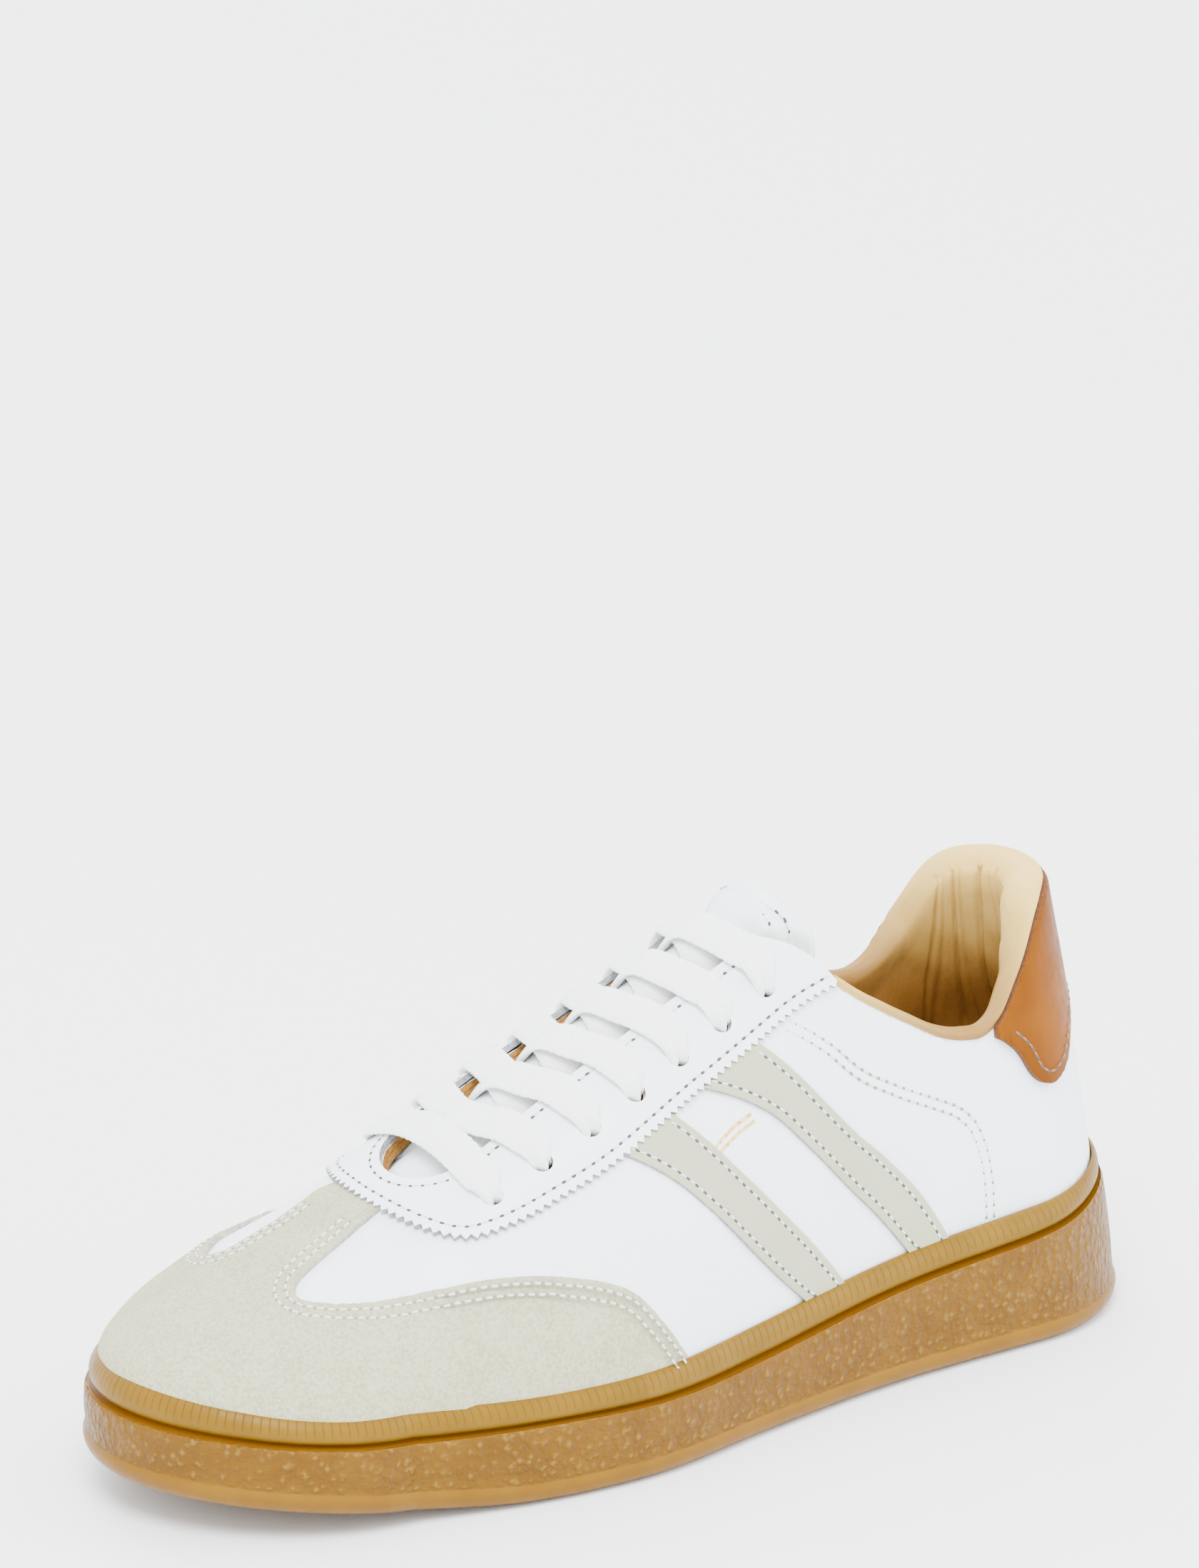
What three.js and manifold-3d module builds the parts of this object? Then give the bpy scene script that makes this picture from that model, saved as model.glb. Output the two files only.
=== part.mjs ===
// Low court shoe, left foot, about 275 mm long. Millimetres, +Z up, toe towards -X, outer side towards -Y.
// Every leather, lining and filler of the upper is a sheet at its own depth under or over one shared skin.
// The skin is laid out on a flat pattern plane: a toe fan, a straight middle and a heel fan round one spine.
import * as THREE from 'three';
import Module from 'manifold-3d';

const wasm = await Module();
wasm.setup();

// ---- driving dimensions -------------------------------------------------------------------------------
const TOE_PIVOT = -87;
const HEEL_PIVOT = 97;
const TOE_TIP = -147;
const HEEL_BACK = 137;
const CENTRE = [1.1, -2.1, 0];
const GAP = 0.3;

// Smooth curves through a few knots: [station or angle, value].
const SPINE_Y = [[-87, 7.5], [-50, 4.8], [-20, 3], [30, 2], [97, 0]];
const TOE_RADIUS = [[-90, 47], [-45, 49], [0, 52], [45, 47], [90, 46.5]];
const HEEL_RADIUS = [[-90, 38.6], [-45, 38.6], [0, 39.8], [45, 38.6], [90, 38.2]];
const OUTER_RADIUS = [[-87, 47], [-56, 52], [-28, 53], [10, 46.2], [51, 40.2], [97, 38.6]];
const INNER_RADIUS = [[-87, 46.5], [-56, 44], [-28, 41], [10, 36.5], [51, 35.8], [97, 38.2]];
const SOLE_BOTTOM = [[-140, 9.8], [-112, 6.8], [-84, 2.8], [-60, 0.4], [-48, 0], [140, 0]];
const GROOVE_Z = [[-140, 25.4], [-112, 22.4], [-84, 19.7], [-56, 18.8], [0, 18.1], [56, 23.4], [112, 28],
  [140, 31]];
const RAND_Z = [[-140, 33.8], [-112, 28.9], [-84, 26.7], [-56, 25.1], [0, 25.9], [56, 30.7], [112, 34.3],
  [140, 36.8]];
const RIDGE_Z = [[-140, 43], [-124, 44.5], [-107, 47.5], [-87, 54], [-60, 68], [-30, 83], [0, 97], [30, 112],
  [60, 134], [90, 154], [140, 160]];
// Above its counter the heel leans forwards by this much.
const HEEL_LEAN = 2.4;
const HEEL_LEAN_START = 52;
const HEEL_LEAN_RISE = 26;
const HEEL_LEAN_STATION = 80;
const HEEL_LEAN_STATIONS = 38;
const ROUNDNESS = [[-140, 2], [-87, 2], [-50, 1.8], [0, 1.7], [30, 1.6], [60, 1.3], [90, 1], [140, 1]];
const UPPER_INSET = [[-147, 5.5], [55, 5.5], [97, 6.5], [137, 6.5]];
const TOPLINE_Z = [[45, 96], [50, 92], [56, 88], [65, 82.5], [72, 78.5], [79, 76.3], [85, 76], [91, 79.5],
  [96, 86], [100.6, 92], [106, 98], [113, 102], [125, 104], [137, 104.5]];
const TAB_LOWER_Z = [[88, 74.5], [92, 72], [95, 69], [98, 63.5], [102.6, 60.3], [106, 61], [110, 63.5],
  [115, 68], [124, 73], [137, 75]];
const LINING_SEAM_Z = [[46, 80], [60, 66], [75, 58], [137, 60]];

// Throat and eyestay, as half widths about one straight axis.
const THROAT_Y = 2.4;
const THROAT_FRONT = -63.5;
const THROAT_HALF = 12.3;
const THROAT_ROUND = 13.5;
const FACING_INNER_END = 30;
const FACING_END = 45;
const EYESTAY_STATIONS = [45, 31.5, 4.5, -23.5, -37.5, -51, -61.5, -68, -70.5];
const EYESTAY_OUTER = {
  [-1]: [22.8, 23, 26, 29.8, 29.4, 27.7, 24, 14.5, 0],
  1: [18.1, 18.4, 20.1, 23.7, 24.8, 26.2, 24, 14.5, 0],
};
const EYESTAY_INNER = [[30, 12.3], [22, 12.3], [0, 12.3], [-20, 12.3], [-34, 12.3], [-47, 12.3],
  [-57, 10.8], [-61.5, 6.5], [-63.5, 0]];
const EYELET_X = [-51.5, -38.4, -25.3, -12.2, 0.9, 14, 27.1];
const EYELET_SHARE = 0.62;
const EYELET_RADIUS = 3;
const LACE_RADIUS = 1.4;

// Depths of the layers, measured outwards from the skin, which is the outer face of the white leather.
const LEATHER = [-1.4, 0];
const OVERLAY = [0.45, 1.65];
const SUEDE = [0.75, 2.1];
const FACING = [0.6, 1.8];
const HEEL_LEATHER = [0.45, 2.2];
const BACKING = [-3.1, -1.95];
const STIFFENER = [-3, -1.7];
const COUNTER = [-3.1, -2.1];
const LINING = [-4.3, -3.5];

// Drops below the top of the rand; the floor is measured up from the sole's bottom.
const FEATHER_DROP = 1;
const MARGIN_DROP = 8;
const MARGIN_WIDTH = 14;
const BOARD_TOP_DROP = 4.3;
const BOARD_BOTTOM_DROP = 6.3;
const LINING_DROP = 4;
const SOCK_TOP_DROP = 0.5;
const SOLE_FLOOR = 5;
const OVERLAY_RISE = 0.5;

// Distances inwards, from the sole's side wall or from the skin at the feather line.
const WALL_THICKNESS = 9;
const LIP_CLEARANCE = 0.45;
const BOARD_INSET = 1.8;
const SOCK_INSET = 5.7;

// ---- small helpers ------------------------------------------------------------------------------------
const clamp = (v, lo, hi) => Math.min(hi, Math.max(lo, v));
const lerp = (a, b, t) => a + (b - a) * t;
const ease = (t) => clamp(t, 0, 1) ** 2 * (3 - 2 * clamp(t, 0, 1));
const radians = (degrees) => degrees * Math.PI / 180;

// Cubic through the knots with averaged slopes; flat beyond both ends.
function curve(knots, x) {
  const n = knots.length;
  const v = clamp(x, knots[0][0], knots[n - 1][0]);
  let i = 0;
  while (i < n - 2 && v > knots[i + 1][0]) i += 1;
  const slope = (k) => (knots[k + 1][1] - knots[k][1]) / (knots[k + 1][0] - knots[k][0]);
  const width = (k) => knots[k + 1][0] - knots[k][0];
  const tangent = (k) => {
    if (k === 0) return slope(0);
    if (k === n - 1) return slope(n - 2);
    return (slope(k - 1) * width(k) + slope(k) * width(k - 1)) / (width(k) + width(k - 1));
  };
  const h = width(i);
  const t = (v - knots[i][0]) / h;
  return (2 * t ** 3 - 3 * t ** 2 + 1) * knots[i][1] + (t ** 3 - 2 * t ** 2 + t) * h * tangent(i)
    + (3 * t ** 2 - 2 * t ** 3) * knots[i + 1][1] + (t ** 3 - t ** 2) * h * tangent(i + 1);
}

// Value t between 0 and 1 where a falling or rising function reaches the target.
function solve(f, target) {
  const rising = f(1) > f(0);
  let lo = 0;
  let hi = 1;
  for (let k = 0; k < 40; k += 1) {
    const mid = (lo + hi) / 2;
    if ((f(mid) < target) === rising) lo = mid;
    else hi = mid;
  }
  return (lo + hi) / 2;
}

// ---- the skin of the upper ----------------------------------------------------------------------------
// A station is one rib: foot point on the spine, outward direction, widest radius of the sole there.
function station(side, u) {
  const toe = u < TOE_PIVOT;
  const heel = u > HEEL_PIVOT;
  if (toe || heel) {
    const share = toe ? (TOE_PIVOT - u) / (TOE_PIVOT - TOE_TIP) : (u - HEEL_PIVOT) / (HEEL_BACK - HEEL_PIVOT);
    const angle = 90 * (1 - share);
    const pivot = toe ? TOE_PIVOT : HEEL_PIVOT;
    const radius = curve(toe ? TOE_RADIUS : HEEL_RADIUS, side * angle);
    const dx = (toe ? -1 : 1) * Math.cos(radians(angle));
    return { side, u, x: pivot, y: curve(SPINE_Y, pivot), dx, dy: side * Math.sin(radians(angle)), radius };
  }
  const radius = curve(side < 0 ? OUTER_RADIUS : INNER_RADIUS, u);
  return { side, u, x: u, y: curve(SPINE_Y, u), dx: 0, dy: side, radius };
}

// The station whose rib passes through a point of the pattern plane, or of the plan, for both share ribs.
function stationThrough(x, y) {
  const foot = clamp(x, TOE_PIVOT, HEEL_PIVOT);
  const side = y < curve(SPINE_Y, foot) ? -1 : 1;
  if (x >= TOE_PIVOT && x <= HEEL_PIVOT) return station(side, x);
  const angle = Math.atan2(Math.abs(y - curve(SPINE_Y, foot)), Math.abs(x - foot)) * 180 / Math.PI;
  const share = 1 - angle / 90;
  if (x < TOE_PIVOT) return station(side, lerp(TOE_PIVOT, TOE_TIP, share));
  return station(side, lerp(HEEL_PIVOT, HEEL_BACK, share));
}

const upperRadius = (s) => s.radius - curve(UPPER_INSET, s.u);
const randTop = (s) => curve(RAND_Z, s.x + s.dx * s.radius);

// Share t runs from 0 at the ridge to 1 at the feather line.
function ribPoint(s, t) {
  const share = clamp(t, 0, 1);
  const r = upperRadius(s);
  const rise = Math.sin(radians(90 * (1 - share)));
  const power = curve(ROUNDNESS, s.x + s.dx * r * share);
  const reach = r * Math.sqrt(Math.max(0, 1 - rise ** power));
  const x = s.x + s.dx * reach;
  const z0 = randTop(s) - FEATHER_DROP;
  const z = lerp(z0, curve(RIDGE_Z, x), rise);
  const onHeel = ease((s.u - HEEL_LEAN_STATION) / HEEL_LEAN_STATIONS);
  const lean = HEEL_LEAN * ease((z - HEEL_LEAN_START) / HEEL_LEAN_RISE) * onHeel;
  return new THREE.Vector3(x - lean, s.y + s.dy * reach, z);
}

const toPattern = (s, t) => [s.x + s.dx * upperRadius(s) * t, s.y + s.dy * upperRadius(s) * t];

function skin(px, py) {
  const s = stationThrough(px, py);
  return ribPoint(s, Math.hypot(px - s.x, py - s.y) / upperRadius(s));
}

const STEP = 0.25;
function skinNormal(px, py) {
  const across = skin(px, py + STEP).sub(skin(px, py - STEP));
  return skin(px + STEP, py).sub(skin(px - STEP, py)).cross(across).normalize();
}

const onSkin = (p, lift) => skin(p[0], p[1]).addScaledVector(skinNormal(p[0], p[1]), lift);

// Pattern point under a plan point, and beside a point of the side view.
function plan(x, y) {
  const s = stationThrough(x, y);
  const target = Math.hypot(x - s.x, y - s.y);
  return toPattern(s, solve((t) => Math.hypot(ribPoint(s, t).x - s.x, ribPoint(s, t).y - s.y), target));
}

const shareAtHeight = (s, z) => solve((t) => ribPoint(s, t).z, z);

function atHeight(side, u, z) {
  const s = station(side, u);
  return toPattern(s, shareAtHeight(s, z));
}

// ---- closed solids ------------------------------------------------------------------------------------
function signedVolume(points, faces) {
  const normal = new THREE.Vector3();
  const part = ([a, b, c]) => points[a].dot(normal.crossVectors(points[b], points[c]));
  return faces.reduce((sum, face) => sum + part(face), 0) / 6;
}

// Merges equal corners, drops empty faces and turns the whole body outwards.
function closedGeometry(corners, faces) {
  const index = new Map();
  const points = [];
  const merged = corners.map((p) => {
    const key = [p.x, p.y, p.z].map((v) => Math.round(v * 2000)).join(' ');
    if (!index.has(key)) {
      index.set(key, points.length);
      points.push(p);
    }
    return index.get(key);
  });
  const distinct = ([a, b, c]) => a !== b && b !== c && c !== a;
  const solid = faces.map((f) => f.map((k) => merged[k])).filter(distinct);
  if (signedVolume(points, solid) < 0) solid.forEach((f) => f.reverse());
  const geometry = new THREE.BufferGeometry();
  geometry.setAttribute('position', new THREE.Float32BufferAttribute(points.flatMap((p) => p.toArray()), 3));
  geometry.setIndex(solid.flat());
  return geometry;
}

const quad = (a, b, c, d) => [[a, b, c], [a, c, d]];

// A sheet with two faces: faceAt(i, j, layer) gives the corner, layer 0 inside and 1 outside.
function sheet(columns, rows, faceAt) {
  const corners = [];
  const faces = [];
  const id = (i, j, layer) => (i * (rows + 1) + j) * 2 + layer;
  for (let i = 0; i <= columns; i += 1) {
    for (let j = 0; j <= rows; j += 1) corners.push(faceAt(i, j, 0), faceAt(i, j, 1));
  }
  for (let i = 0; i < columns; i += 1) {
    for (let j = 0; j < rows; j += 1) {
      faces.push(...quad(id(i, j, 1), id(i + 1, j, 1), id(i + 1, j + 1, 1), id(i, j + 1, 1)));
      faces.push(...quad(id(i, j, 0), id(i, j + 1, 0), id(i + 1, j + 1, 0), id(i + 1, j, 0)));
    }
    faces.push(...quad(id(i, 0, 0), id(i + 1, 0, 0), id(i + 1, 0, 1), id(i, 0, 1)));
    faces.push(...quad(id(i, rows, 1), id(i + 1, rows, 1), id(i + 1, rows, 0), id(i, rows, 0)));
  }
  for (let j = 0; j < rows; j += 1) {
    faces.push(...quad(id(0, j, 1), id(0, j + 1, 1), id(0, j + 1, 0), id(0, j, 0)));
    faces.push(...quad(id(columns, j, 0), id(columns, j + 1, 0), id(columns, j + 1, 1), id(columns, j, 1)));
  }
  return closedGeometry(corners, faces);
}

// A solid swept through the stations: each gives one closed ring of corners.
function sweep(rings, closed) {
  const size = rings[0].length;
  const faces = [];
  const turns = closed ? rings.length : rings.length - 1;
  for (let i = 0; i < turns; i += 1) {
    const a = i * size;
    const b = ((i + 1) % rings.length) * size;
    for (let k = 0; k < size; k += 1) {
      const next = (k + 1) % size;
      faces.push(...quad(a + k, b + k, b + next, a + next));
    }
  }
  if (!closed) {
    const section = (ring) => ring.map((p) => new THREE.Vector2(p.across, p.z));
    const flat = (ring) => THREE.ShapeUtils.triangulateShape(section(ring), []);
    flat(rings[0]).forEach((f) => faces.push([...f]));
    const last = (rings.length - 1) * size;
    flat(rings[rings.length - 1]).forEach((f) => faces.push([f[2] + last, f[1] + last, f[0] + last]));
  }
  return closedGeometry(rings.flat(), faces);
}

function toSolid(geometry) {
  const vertProperties = new Float32Array(geometry.attributes.position.array);
  const triVerts = new Uint32Array(geometry.index.array);
  return new wasm.Manifold(new wasm.Mesh({ numProp: 3, vertProperties, triVerts }));
}

function toGeometry(solid) {
  const mesh = solid.getMesh();
  const geometry = new THREE.BufferGeometry();
  geometry.setAttribute('position', new THREE.BufferAttribute(mesh.vertProperties, 3));
  geometry.setIndex(new THREE.BufferAttribute(mesh.triVerts, 1));
  return geometry;
}

// ---- station lists ------------------------------------------------------------------------------------
const spread = (from, to, count) => Array.from({ length: count + 1 }, (_, i) => lerp(from, to, i / count));

const TOE_STEPS = spread(TOE_TIP, TOE_PIVOT, 6);
const MIDDLE_STEPS = spread(TOE_PIVOT, HEEL_PIVOT, 14).slice(1);
const HEEL_STEPS = spread(HEEL_PIVOT, HEEL_BACK, 6).slice(1);
const ALL_STEPS = [...TOE_STEPS, ...MIDDLE_STEPS, ...HEEL_STEPS];

// Stations from one place on the outer side, round the toe or the heel, to the same place on the inner side.
const around = (half) => [
  ...half.map((u) => station(-1, u)),
  ...half.slice(0, -1).reverse().map((u) => station(1, u)),
];

function wholeLoop() {
  const outer = ALL_STEPS.map((u) => station(-1, u));
  const inner = ALL_STEPS.slice(1, -1).reverse().map((u) => station(1, u));
  return [...outer, ...inner];
}

// ---- the sole -----------------------------------------------------------------------------------------
const SPINE_INSET = 1000;
const soleCorner = (s, inset, heightAt) => {
  const reach = Math.max(0, s.radius - inset);
  const x = s.x + s.dx * reach;
  const rim = inset === SPINE_INSET ? x : s.x + s.dx * s.radius;
  return new THREE.Vector3(x, s.y + s.dy * reach, heightAt(x, rim));
};

const bottomZ = (x) => Math.max(0, curve(SOLE_BOTTOM, x));
const bottomPlus = (rise) => (x) => bottomZ(x) + rise;
const grooveMinus = (drop) => (x, rim) => curve(GROOVE_Z, rim) - drop;
const randMinus = (drop) => (x, rim) => curve(RAND_Z, rim) - drop;
const sideWall = (share) => (x, rim) => lerp(bottomZ(x), curve(GROOVE_Z, rim), share);
const randSide = (share) => (x, rim) => lerp(curve(GROOVE_Z, rim), curve(RAND_Z, rim), share);

function cupsole() {
  const rings = wholeLoop().map((s) => {
    const lip = curve(UPPER_INSET, s.u) - LIP_CLEARANCE;
    return [
      soleCorner(s, SPINE_INSET, bottomPlus(0)),
      soleCorner(s, 14, bottomPlus(0)),
      soleCorner(s, 2.8, bottomPlus(0)),
      soleCorner(s, 1.4, bottomPlus(0.9)),
      soleCorner(s, 0, sideWall(0.4)),
      soleCorner(s, 0.3, grooveMinus(1.8)),
      soleCorner(s, 2.9, grooveMinus(0.2)),
      soleCorner(s, 2.7, grooveMinus(-1)),
      soleCorner(s, 3, randSide(0.6)),
      soleCorner(s, 4.2, randMinus(0)),
      soleCorner(s, lip, randMinus(0)),
      soleCorner(s, lip, randMinus(MARGIN_DROP + GAP)),
      soleCorner(s, WALL_THICKNESS, randMinus(MARGIN_DROP + GAP)),
      soleCorner(s, WALL_THICKNESS, bottomPlus(SOLE_FLOOR)),
      soleCorner(s, SPINE_INSET, bottomPlus(SOLE_FLOOR)),
    ];
  });
  return stackedRings(rings);
}

// Rings that start and end on the spine: the two halves meet there along the same corners.
function stackedRings(rings) {
  const size = rings[0].length;
  const faces = [];
  for (let i = 0; i < rings.length; i += 1) {
    const a = i * size;
    const b = ((i + 1) % rings.length) * size;
    for (let k = 0; k < size - 1; k += 1) faces.push(...quad(a + k, b + k, b + k + 1, a + k + 1));
  }
  return closedGeometry(rings.flat(), faces);
}

function slab(inset, lower, upper) {
  return stackedRings(wholeLoop().map((s) => [
    soleCorner(s, SPINE_INSET, lower),
    soleCorner(s, inset(s), lower),
    soleCorner(s, inset(s), upper),
    soleCorner(s, SPINE_INSET, upper),
  ]));
}

const midsoleFoam = () => slab(() => WALL_THICKNESS + GAP, bottomPlus(SOLE_FLOOR + GAP),
  randMinus(MARGIN_DROP + GAP));
const insoleBoard = () => slab((s) => curve(UPPER_INSET, s.u) + BOARD_INSET, randMinus(BOARD_BOTTOM_DROP),
  randMinus(BOARD_TOP_DROP));
const sockliner = () => slab((s) => curve(UPPER_INSET, s.u) + SOCK_INSET, randMinus(LINING_DROP),
  randMinus(SOCK_TOP_DROP));

// ---- sheets of the upper ------------------------------------------------------------------------------
const throatHalf = (x) => {
  const ahead = clamp((THROAT_FRONT + THROAT_ROUND - x) / THROAT_ROUND, 0, 1);
  return THROAT_HALF * Math.sqrt(1 - ahead * ahead);
};

// Share of the rib at which a side panel ends: at the ridge, the throat, the facing's end or the topline.
function topShare(s, half) {
  if (s.u <= THROAT_FRONT) return 0;
  if (s.u >= FACING_END) return shareAtHeight(s, curve(TOPLINE_Z, s.u));
  const slant = ease((s.u - FACING_INNER_END) / (FACING_END - FACING_INNER_END));
  const edge = lerp(half(s.u), EYESTAY_OUTER[s.side][0], slant);
  const reach = edge + s.side * (THROAT_Y - s.y);
  if (reach <= 0) return 0;
  return solve((t) => Math.abs(ribPoint(s, t).y - s.y), reach);
}

const SIDE_STEPS = [...TOE_STEPS, -75, -63.5, -62, -58, -48, -32, -16, 0, 16, 30, 37, 45, 53, 62, 72, 82, 90,
  HEEL_PIVOT, ...HEEL_STEPS];
const SEAM_HALF_GAP = 0.15;
const FOOTBED_INSET = 8.3;

function feather(s, lift, drop, inward) {
  const reach = upperRadius(s) - inward;
  const out = inward > 0 ? 0 : lift;
  const dip = clamp((s.radius - reach - FOOTBED_INSET) / (s.radius - FOOTBED_INSET), 0, 1);
  const z = lerp(randTop(s), curve(RAND_Z, s.x), dip) - drop - (inward > 0 ? lift : 0);
  return new THREE.Vector3(s.x + s.dx * (reach + out), s.y + s.dy * (reach + out), z);
}

// White leather of one side: from the folded lasting margin up to the ridge, throat and topline.
function quarter(side) {
  const stations = SIDE_STEPS.map((u) => station(side, u));
  const rows = 8;
  return sheet(stations.length - 1, rows, (i, j, layer) => {
    const s = stations[i];
    const lift = LEATHER[layer];
    const share = lerp(1, topShare(s, throatHalf), Math.max(0, j - 3) / (rows - 3));
    const folds = [[MARGIN_DROP, MARGIN_WIDTH], [MARGIN_DROP, 2], [MARGIN_DROP - 1.6, 0]];
    const p = j < 3 ? feather(s, lift, folds[j][0], folds[j][1]) : onSkin(toPattern(s, share), lift);
    p.y += side * SEAM_HALF_GAP;
    return p;
  });
}

// A lining or stiffener whose lower edge stands on the insole board.
function standing(stations, rows, depth, topShareAt) {
  return sheet(stations.length - 1, rows, (i, j, layer) => {
    const s = stations[i];
    if (j === 0) return feather(s, depth[layer], LINING_DROP, 0);
    return onSkin(toPattern(s, lerp(1, topShareAt(s), (j - 1) / (rows - 1))), depth[layer]);
  });
}

const VAMP_LINING_STEPS = [...TOE_STEPS, -75, -68, -64, -58, -44, -28, -12, 4, 18, 32, 44];

function vampLining(side) {
  const stations = VAMP_LINING_STEPS.map((u) => station(side, u));
  const half = (x) => (curve(outerEdge(side).reverse(), x) + 0.6) * ease((x + 68) / 10);
  const geometry = standing(stations, 5, LINING, (s) => topShare({ ...s, u: Math.min(s.u, 29) }, half));
  geometry.translate(0, side * SEAM_HALF_GAP, 0);
  return geometry;
}

const HEEL_ROUND = [44.5, 53, 62, 72, 82, 90, HEEL_PIVOT, ...HEEL_STEPS];
const heelStations = (from) => around(HEEL_ROUND.filter((u) => u >= from));

const quarterLining = () => standing(heelStations(44), 4, LINING,
  (s) => shareAtHeight(s, curve(LINING_SEAM_Z, s.u) + 2));
const COUNTER_TOP = [[60, 43], [70, 50], [80, 56], [137, 56]];
const heelCounter = () => standing(heelStations(60), 4, COUNTER,
  (s) => shareAtHeight(s, curve(COUNTER_TOP, s.u)));
const PUFF_SHARE = 0.25;
const toePuff = () => standing(around(TOE_STEPS.slice(0, -1).reverse()), 4, STIFFENER, () => PUFF_SHARE);

// ---- padded collar ------------------------------------------------------------------------------------
// Section of the roll: depth from the skin and height from the topline; negative heights follow the wall.
const ROLL = [[0.2, 0.4], [0.5, 2.2], [-1.2, 4.1], [-4.4, 4.7], [-7.6, 3.2], [-9, -1], [-8.8, -8]];
const ROLL_INSIDE = [[-0.8, 0.4], [-0.5, 1.9], [-1.8, 3.2], [-4.3, 3.7], [-6.9, 2.5], [-8, -1], [-7.8, -8]];
const PAD = [[-1.7, -9], [-1.7, 0], [-2.3, 2.4], [-4.3, 3.1], [-6.4, 2], [-7.4, -1], [-7.2, -8]];
const SEAM_OVER = [-5.7, -4.6];

// Corner of the roll at one station; the padding thins out towards the facing.
function rollCorner(s, depth, rise) {
  const fullness = lerp(0.45, 1, ease((s.u - 46) / 24));
  const top = curve(TOPLINE_Z, s.u);
  const p = toPattern(s, shareAtHeight(s, top + Math.min(0, rise)));
  const across = depth > -1.4 ? depth : -1.4 + (depth + 1.4) * fullness;
  const corner = onSkin(p, across);
  corner.z += Math.max(0, rise) * lerp(0.6, 1, fullness);
  corner.across = across;
  return corner;
}

function seamCorner(s, depth, z) {
  const corner = onSkin(toPattern(s, shareAtHeight(s, z)), depth);
  corner.across = depth;
  return corner;
}

function collarLining() {
  const rings = heelStations(47).map((s) => {
    const seam = curve(LINING_SEAM_Z, s.u);
    const outside = ROLL.map(([d, h]) => rollCorner(s, d, h));
    const inside = ROLL_INSIDE.map(([d, h]) => rollCorner(s, d, h)).reverse();
    return [...outside, seamCorner(s, SEAM_OVER[0], seam), seamCorner(s, SEAM_OVER[1], seam), ...inside];
  });
  return sweep(rings, false);
}

function collarFoam() {
  return sweep(heelStations(50).map((s) => PAD.map(([d, h]) => rollCorner(s, d, h))), false);
}

// ---- overlays -----------------------------------------------------------------------------------------
// A panel between two edges given by matching pattern points; each edge is a polyline or a smooth curve.
function panel(edgeA, edgeB, columns, rows, depth) {
  const smooth = (edge) => new THREE.CatmullRomCurve3(edge.map(([x, y]) => new THREE.Vector3(x, y, 0)),
    false, 'centripetal');
  const a = smooth(edgeA);
  const b = smooth(edgeB);
  return sheet(columns, rows, (i, j, layer) => {
    const p = a.getPoint(i / columns).lerp(b.getPoint(i / columns), j / rows);
    return onSkin([p.x, p.y], depth[layer]);
  });
}

// Overlays end just above the rand.
const overlayFoot = (s) => toPattern(s, shareAtHeight(s, randTop(s) + OVERLAY_RISE));

const mirrorList = (half) => [...half(-1), ...half(1).slice(0, -1).reverse()];

// Suede cap with wings along the rand and a bar up the ridge to the eyestay.
const CAP_FOOT = [-14.5, -40, -60, -80, -96, -108, -118, -128, -138, TOE_TIP];
const WING_EDGE = [[-22, 37], [-32, 45.8], [-50, 50.6]];
const BAR_EDGE = [[-65, 34.5], [-80, 29.4], [-92, 23.6], [-97.5, 16], [-89.5, 10.6], [-71.2, 9], [-71.2, 0]];

function toeCap() {
  const foot = mirrorList((side) => CAP_FOOT.map((u) => overlayFoot(station(side, u))));
  const edge = mirrorList((side) => [
    ...WING_EDGE.map(([x, z]) => atHeight(side, x, side < 0 ? z : z - 1.5)),
    ...BAR_EDGE.map(([x, half]) => plan(x, curve(SPINE_Y, x) + side * half)),
  ]);
  return panel(foot, edge, 40, 4, SUEDE);
}

const facingEdge = (tableOf) => mirrorList((side) => tableOf(side).map(([x, half]) => plan(x, THROAT_Y
  + side * Math.max(0, half))));
const outerEdge = (side) => EYESTAY_STATIONS.map((x, k) => [x, EYESTAY_OUTER[side][k]]);
const eyeletHalf = (side, x) => lerp(THROAT_HALF, curve(outerEdge(side).reverse(), x), EYELET_SHARE);

function eyelets() {
  const drill = new THREE.CylinderGeometry(EYELET_RADIUS, EYELET_RADIUS, 12, 8);
  const corners = Array.from({ length: drill.attributes.position.count }, (_, k) => new THREE.Vector3()
    .fromBufferAttribute(drill.attributes.position, k));
  const index = drill.index.array;
  const faces = Array.from({ length: index.length / 3 }, (_, k) => [...index.slice(3 * k, 3 * k + 3)]);
  const up = new THREE.Vector3(0, 1, 0);
  return [-1, 1].flatMap((side) => EYELET_X.map((x) => {
    const p = plan(x, THROAT_Y + side * eyeletHalf(side, x));
    const turn = new THREE.Quaternion().setFromUnitVectors(up, skinNormal(p[0], p[1]));
    const place = onSkin(p, 0);
    return toSolid(closedGeometry(corners.map((c) => c.clone().applyQuaternion(turn).add(place)), faces));
  }));
}

const punched = (geometry, drills) => toGeometry(drills.reduce((solid, hole) => solid.subtract(hole),
  toSolid(geometry)));

function eyestay() {
  return panel(facingEdge(outerEdge), facingEdge(() => EYESTAY_INNER), 36, 2, FACING);
}

function eyestayBacking() {
  const outer = (side) => outerEdge(side).map(([x, half]) => [Math.max(x, -69), half - 0.4]);
  const inner = () => EYESTAY_INNER.map(([x, half]) => [Math.max(x, -62.5), half - 1]);
  return panel(facingEdge(outer), facingEdge(inner), 36, 2, BACKING);
}

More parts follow.
